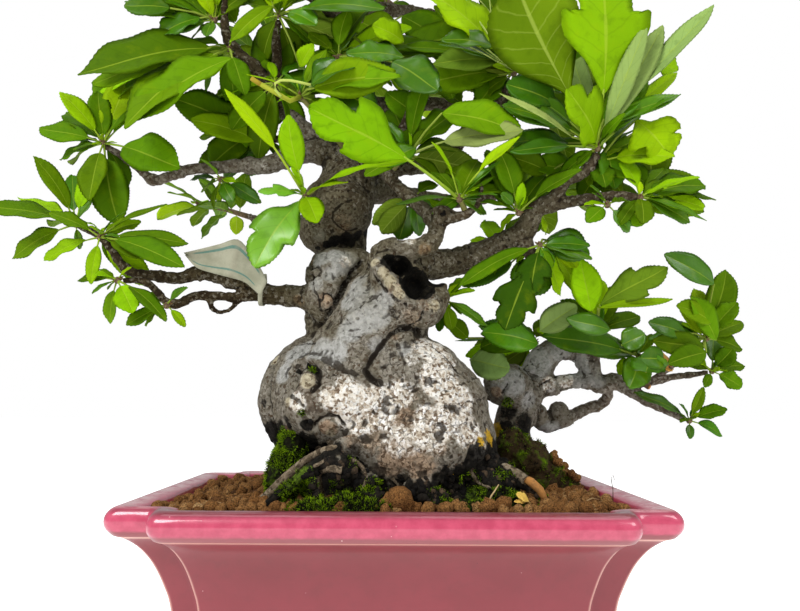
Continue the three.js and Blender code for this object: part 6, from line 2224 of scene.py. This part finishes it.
def scatterAt(spots, trees, dice):
    # places round each spot of the main view, with what the spot says after its reach and count
    for u, v, reach, count, *rest in spots:
        for _ in range(count):
            turn, away = dice.uniform(0, 6.3), reach * math.sqrt(dice.random())
            place, normal = seenOn(trees, u + away * math.cos(turn), v + away * math.sin(turn))
            if place is not None and np.linalg.norm(place[:2]) < 0.2 and place[2] < 0.2:
                yield place, normal, rest


def makeMoss():
    dice = random.Random(moss["seed"])
    kinds = [tuftKind(dice) for _ in range(8)]
    finish = mossFinish("moss_green", (0.008, 0.008, 0.003))
    earthy = mossFinish("moss_on_a_root", (0.050, 0.032, 0.014))
    for name, (lobes, density, green) in moss["cushions"].items():
        makeCushion(name, lobes, density, green, earthy if name == "back" else finish, kinds, dice)
    heap = Heap()
    for place, normal, rest in scatterAt(moss["creeping"], [woodTree, soilTree], dice):
        addTuft(heap, kinds, place, normal, rest[0], dice)
    finishPiece(heap.piece("creeping_moss"), finish, smooth=False)


def crustFinish():
    f = Finish("dark_crust")
    tone = f.layer("tone")
    grain = f.noise(0.8, 5, 0.7)
    level = (tone + (f.noise(3, 4) - 0.5) * 0.5).clamp()
    colour = f.ramp(level, [(0.0, (0.003, 0.0025, 0.002)), (0.5, (0.016, 0.012, 0.008)),
                            (1.0, (0.10, 0.065, 0.038))])
    bump = f.bump(grain, 0.8)
    return f.plain(colour, 0.9, bump, 0.2)


def rootLine(trees, route, radius):
    # even in depth between its two ends, which both lie on something, and sagging to what it crosses
    found = [seenOn(trees, u, v)[0] for u, v in route]
    first, last = found[0][1] / mm, found[-1][1] / mm
    depths = []
    for k, place in enumerate(found):
        even = first + (last - first) * k / (len(route) - 1)
        depths.append(even if place is None else min(place[1] / mm, even + crust["sag"]))
    for _ in range(2):
        depths = [first, *[sum(depths[k - 1:k + 2]) / 3 for k in range(1, len(depths) - 1)], last]
    line = []
    for k, ((u, v), depth) in enumerate(zip(route, depths)):
        line.append((*pixelPlace(u, v, depth - radius * 0.4), radius * (1.1 - 0.5 * k / len(route))))
    line[-1] = (*line[-1][:3], radius * 0.2)
    return line


def makeCrust():
    dice = random.Random(crust["seed"])
    kinds = granuleKinds()
    heap = Heap()
    for place, normal, _ in scatterAt(crust["spots"], [woodTree, soilTree], dice):
        size = dice.uniform(crust["small"], crust["large"])
        points, faces = dice.choice(kinds)
        heap.put((points @ turnMatrix(dice).T * size) * mm + place - normal * 0.25 * size * mm, faces,
                 min(1, max(0, dice.gauss(0.25, 0.3))))
    finishPiece(heap.piece("crust_clumps"), crustFinish())
    roots = []
    trees = [woodTree, soilTree, treeOf(bpy.data.objects["moss_left_cushion"])]
    for radius, black, route in crust["roots"]:
        root = tubeOf(rootLine(trees, throughPoints(route, 3), radius), "root", 2, 5)
        paint(root.data, "soot", np.full(len(root.data.vertices), black))
        paint(root.data, "root", np.full(len(root.data.vertices), 1 - black))
        roots.append(root)
    body = joinPieces(roots, "thin_roots")
    groupAll(body)
    displace(body, "root_bumps", "CLOUDS", 2.2, 0.9, "all", noise_depth=2)
    applyAll(body)
    finishPiece(body, barkFinish())


def makeHeaped():
    # granules that lie on the moss at the back, and a row heaped against the front of the rim
    dice = random.Random(8)
    kinds = granuleKinds()
    heap = Heap()
    trees = [treeOf(bpy.data.objects["moss_back_cushion"]), soilTree]
    spots = [(dice.uniform(117, 152), dice.uniform(6, 66), dice.uniform(2.2, 3.9)) for _ in range(110)]
    # two rows along the rim: where in x, between which y, and the radii
    for run, near, sizes in ((range(-132, 134, 6), (-107, -99), (2.8, 5.2)),
                             (range(-128, 130, 7), (-104, -97), (2.2, 4.0))):
        spots += [(x + dice.uniform(-2, 2), dice.uniform(*near), dice.uniform(*sizes)) for x in run]
    spots += [(3, -101, 9.5), (-3, -99, 7.5), (56, -101, 5.6), (64, -101, 6), (30, -102, 5.2)]
    for x, y, size in spots:
        hits = [tree.ray_cast(Vector((x * mm, y * mm, 0.3)), Vector((0, 0, -1)))[0] for tree in trees]
        ground = max([hit.z for hit in hits if hit], default=0) / mm
        if ground < 95:
            continue
        points, faces = dice.choice(kinds)
        lift = size * dice.uniform(0.45, 0.85) + (2.2 if y < -96 else 0)
        placed = points @ turnMatrix(dice).T * size + np.array((x, y, ground + lift))
        heap.put(placed * mm, faces, min(1, max(0, dice.gauss(0.55, 0.18))))
    finishPiece(heap.piece("heaped_granules"), granuleFinish())


def paperFinish():
    f = Finish("tag_paper")
    places = f.add("ShaderNodeUVMap", {"uv_map": "strip"}, {}, "UV")
    along = f.part("X", places)
    across = f.part("Y", places)
    fibre = f.noise(1.2, 5, 0.7)
    damp = f.noise(11, 4)
    colour = f.mix(damp.step(0.35, 0.7), (0.33, 0.325, 0.235), (0.235, 0.235, 0.16))
    colour = f.mix(fibre.step(0.5, 0.75) * 0.35, colour, (0.18, 0.175, 0.12))
    # two plain ruled lines
    ruled = 1 - abs(across - 0.80).step(0.018, 0.035)
    wide = 1 - abs(across - 0.20).step(0.035, 0.055)
    printed = ((ruled + wide) * along.step(0.06, 0.12) * along.step(0.86, 0.80)).clamp()
    colour = f.mix(printed * (0.55 + fibre * 0.4), colour, (0.035, 0.15, 0.125))
    fold = abs(along - 0.52).step(0.05, 0.0)
    colour = f.mix(fold * 0.35, colour, (0.22, 0.20, 0.14))
    bump = f.bump(fibre * 0.5 + damp + fold, 0.4)
    return f.plain(colour, 0.7, bump, 0.25)


def makeTag():
    upper = throughPoints([(a, b) for a, b, _, _ in tag["edges"]], 4)
    lower = throughPoints([(c, d) for _, _, c, d in tag["edges"]], 4)
    columns = 9
    points, uv = [], []
    for row, (high, low) in enumerate(zip(upper, lower)):
        s = row / (len(upper) - 1)
        for column in range(columns):
            t = column / (columns - 1)
            x, z = high * (1 - t) + low * t
            bow = tag["curl"] * (4 * t * (1 - t) - 0.5) * (1 - s) + 1.6 * math.sin(s * 5.2) * (1 - s)
            points.append((x * mm, (tag["depth"] + bow + 1.2 * s) * mm, z * mm))
            uv.append((s, t))
    strip = meshPiece("paper_tag", points, gridFaces(len(upper), columns))
    layer = strip.data.uv_layers.new(name="strip")
    for loop in strip.data.loops:
        layer.data[loop.index].uv = uv[loop.vertex_index]
    # the loop that holds it on the branch
    x, y, z, radius, width = tag["loop"]
    deselect()
    bpy.ops.mesh.primitive_cylinder_add(vertices=40, radius=radius * mm, depth=width * mm,
                                        end_fill_type="NOTHING")
    loop = bpy.context.view_layer.objects.active
    loop.rotation_euler = (0, math.pi / 2, 0)
    loop.location = (x * mm, y * mm, z * mm)
    settle(loop)
    around = readPoints(loop.data) / mm
    around[:, 2] = z + (around[:, 2] - z) * tag["stretch"]
    around[:, 0] += (around[:, 2] - z) * 0.10 * smoothstep(-30, -52, around[:, 1])
    writePoints(loop.data, around * mm)
    while loop.data.uv_layers:
        loop.data.uv_layers.remove(loop.data.uv_layers[0])
    loop.data.uv_layers.new(name="strip")
    for layer in loop.data.uv_layers["strip"].data:
        layer.uv = (0.02, 0.5)
    piece = joinPieces([strip, loop], "paper_tag")
    thick = piece.modifiers.new("sheet", "SOLIDIFY")
    thick.thickness = tag["thickness"] * mm
    thick.offset = 0
    applyAll(piece)
    finishPiece(turnOutward(piece), paperFinish(), ["plant_tag"])


def driedFinish(name, spot):
    # old leaves, straw, stalks and fruitlets: each its own tone, browned in spots
    f = Finish(name)
    tone = f.add("ShaderNodeAttribute", {"attribute_name": "tone"}, {}, "Color")
    patch, fine = f.noise(4, 4, 0.6), f.noise(0.9, 4, 0.7)
    colour = f.mix(patch.step(0.45, 0.7) * 0.55, tone, spot)
    colour = f.mix(fine.step(0.5, 0.72) * 0.35, colour, spot)
    bump = f.bump(fine + patch, 0.5)
    return f.plain(colour, 0.75, bump, 0.2)


def routeOf(pixels, depth, radius):
    # a stalk's places, with its radius, through pixels of the main view at a depth
    return [(*pixelPlace(u, v, depth), radius) for u, v in pixels]


def addFruitlet(bundle, place, radius, heading):
    # a young fruit with the dried calyx at its end
    end = np.array(place)
    way = unit(np.array(heading, float))
    profile = [(-0.2, 0.35), (0.3, 0.75), (1.0, 1.0), (1.8, 0.95), (2.4, 0.7), (2.8, 0.5)]
    route = [(*(end + way * radius * s), radius * r) for s, r in profile]
    addTube(bundle, route, (0.22, 0.40, 0.04), 0.3, 0.0, 9)
    crown = end + way * radius * 2.8
    for k in range(5):
        turn = 2 * math.pi * k / 5
        side = unit(np.cross(way, (0.3, 0.9, 0.2)))
        across = np.cross(way, side)
        out = side * math.cos(turn) + across * math.sin(turn)
        curl = crown + (way * 0.9 + out * 0.8) * radius * 0.9
        tip = curl + (out * 1.1 - way * 0.2) * radius * 0.7
        sepal = [(*crown, radius * 0.34), (*curl, radius * 0.28), (*tip, 0.12)]
        addTube(bundle, sepal, (0.52, 0.20, 0.025), 0.2, 0.0, 5)


def makeFruit():
    bundle = Bundle()
    u, v, depth = fruit["spur"]
    spur = pixelPlace(u, v, depth)
    for front, radius, pixels, fruitRadius in fruit["stalks"]:
        route = routeOf(pixels, front, radius)
        middle = (np.array(route[-1][:3]) + spur) / 2 + (0, 1.5, 0.6)
        stalk = [*route, (*middle, radius * 1.1), (*spur, radius * 1.4)]
        addTube(bundle, stalk, (0.46, 0.56, 0.14), 0.3, 0.0, 7)
        if fruitRadius:
            heading = np.array(route[0][:3]) - np.array(route[1][:3])
            addFruitlet(bundle, route[0][:3], fruitRadius, heading)
        else:
            end = np.array(route[0][:3])
            stump = [(*end, radius * 1.3), (*(end + (-0.5, 0, 0.8)), 0.2)]
            addTube(bundle, stump, (0.40, 0.24, 0.08), 0.2, 0.0, 6)
    finishPiece(bundle.piece("young_fruit"), driedFinish("fruit_skin", (0.16, 0.30, 0.03)))


def makeStem():
    # the downy young stem with its curled leaf stalk
    bundle = Bundle()
    foot = shoots["yellowShoot"]["at"]
    stem = [(*foot, 1.9), *routeOf([(290, 101), (276, 93), (261, 84.5)], -56, 1.75)]
    addTube(bundle, stem, (0.34, 0.33, 0.035), 0.3, 0.0, 9)
    tipRoute = [stem[-1], *routeOf([(256, 81.5), (251.5, 78.5)], -57, 1.7)]
    addTube(bundle, tipRoute, (0.36, 0.15, 0.025), 0.2, 0.0, 9)
    curl = [(281, 96.5), (275.5, 90), (275, 83.5), (281, 80.3), (291, 80.6), (300, 82.4), (311, 85)]
    petiole = routeOf(curl, -59, 1.0)
    addTube(bundle, petiole, (0.52, 0.60, 0.16), 0.3, 0.0, 8)
    base = np.array(petiole[-1][:3])
    facing = np.array((0, -0.75, 0.66))
    addLeaf(bundle, base, pixelPlace(356, 66, -66), facing, 18, 0.0, "d", random.Random(4))
    finishPiece(bundle.piece("young_stem"), greenLeaf)


def makeDead():
    dead = driedFinish("dead_leaf", (0.30, 0.12, 0.03))
    dice = random.Random(3)
    dry = Bundle()
    base, tip = np.array((221.0, 38, 194)), np.array((203.0, 22, 204))
    addLeaf(dry, base, tip, np.array((0.2, -0.8, 0.6)), 11, 0.12, "o", dice)
    addLeaf(dry, base, tip + (4, 3, -9), np.array((0.5, -0.8, 0.2)), 7, 0.12, "o", dice)
    finishPiece(dry.piece("dried_leaf"), dead, ["dry_leaf"])
    scrap = Bundle()
    # base, tip, facing and width
    scraps = [((82.0, -92, 106), (73.0, -96, 112), (0.4, -0.8, 0.5), 6),
              ((81.0, -93, 107), (71.5, -97, 107.5), (0, -0.7, 0.7), 3.4)]
    for base, tip, facing, width in scraps:
        addLeaf(scrap, np.array(base), np.array(tip), np.array(facing), width, 0.1, "f", dice)
    finishPiece(scrap.piece("yellow_leaf_scrap"), dead, ["fallen_leaf"])
    bits = Bundle()
    straw = (0.60, 0.44, 0.22)
    # the cut end of the front root on the right, from the root down to the soil: pixel, depth and radius
    cutEnd = [(522, 477, -73, 2.2), (531, 482, -75, 2.9), (540, 490, -77, 2.7), (547, 504, -79, 1.8)]
    cutRoute = [(*pixelPlace(u, v, y), radius) for u, v, y, radius in cutEnd]
    addTube(bits, cutRoute, (0.42, 0.19, 0.05), 0.2, 0.0, 9)
    addTube(bits, [(55, -96, 103, 0.5), (58, -94.5, 110, 0.55), (63, -93, 117, 0.35)], straw)
    # a fine dark hair that stands in the soil, hooked at its top
    rows = ((v, seenOn([soilTree], 613, v)[0]) for v in range(496, 540))
    foot, spot = next(pair for pair in rows if pair[1] is not None)
    hair = [(613, foot, 0.3), (613, 490, 0.26), (611, 478, 0.24), (613, 475, 0.22), (614.5, 480, 0.2)]
    addTube(bits, [(*pixelPlace(u, v, spot[1] / mm), radius) for u, v, radius in hair], (0.06, 0.045, 0.03))
    addTube(bits, [(-118, -88, 103, 0.4), (-110, -90, 105.6, 0.4), (-101, -91, 104, 0.3)], (0.35, 0.22, 0.10))
    addTube(bits, [(118, -70, 103, 0.4), (127, -66, 106, 0.4), (133, -60, 104.4, 0.3)], (0.45, 0.30, 0.14))
    stub, _ = seenOn([woodTree], 641, 381)
    if stub is not None:
        end = np.array(pixelPlace(649, 387, stub[1] / mm - 5))
        addTube(bits, [(*(stub / mm + (0, 3, 0)), 2.9), (*((stub / mm + end) / 2), 2.6), (*end, 2.4)],
                (0.13, 0.085, 0.05), 0.2, 0.0, 9)
        addTube(bits, [(*end, 2.2), (*(end + (0.7, -0.4, -0.5)), 1.7)], (0.50, 0.22, 0.06), 0.2, 0.0, 9)
    finishPiece(bits.piece("straw_and_stubs"), driedFinish("dry_straw", (0.20, 0.11, 0.05)))


makeMoss()
makeCrust()
makeHeaped()
print("moss, crust and granules made")
makeTag()
makeFruit()
makeStem()
makeDead()
print("tag, fruit and small things made")
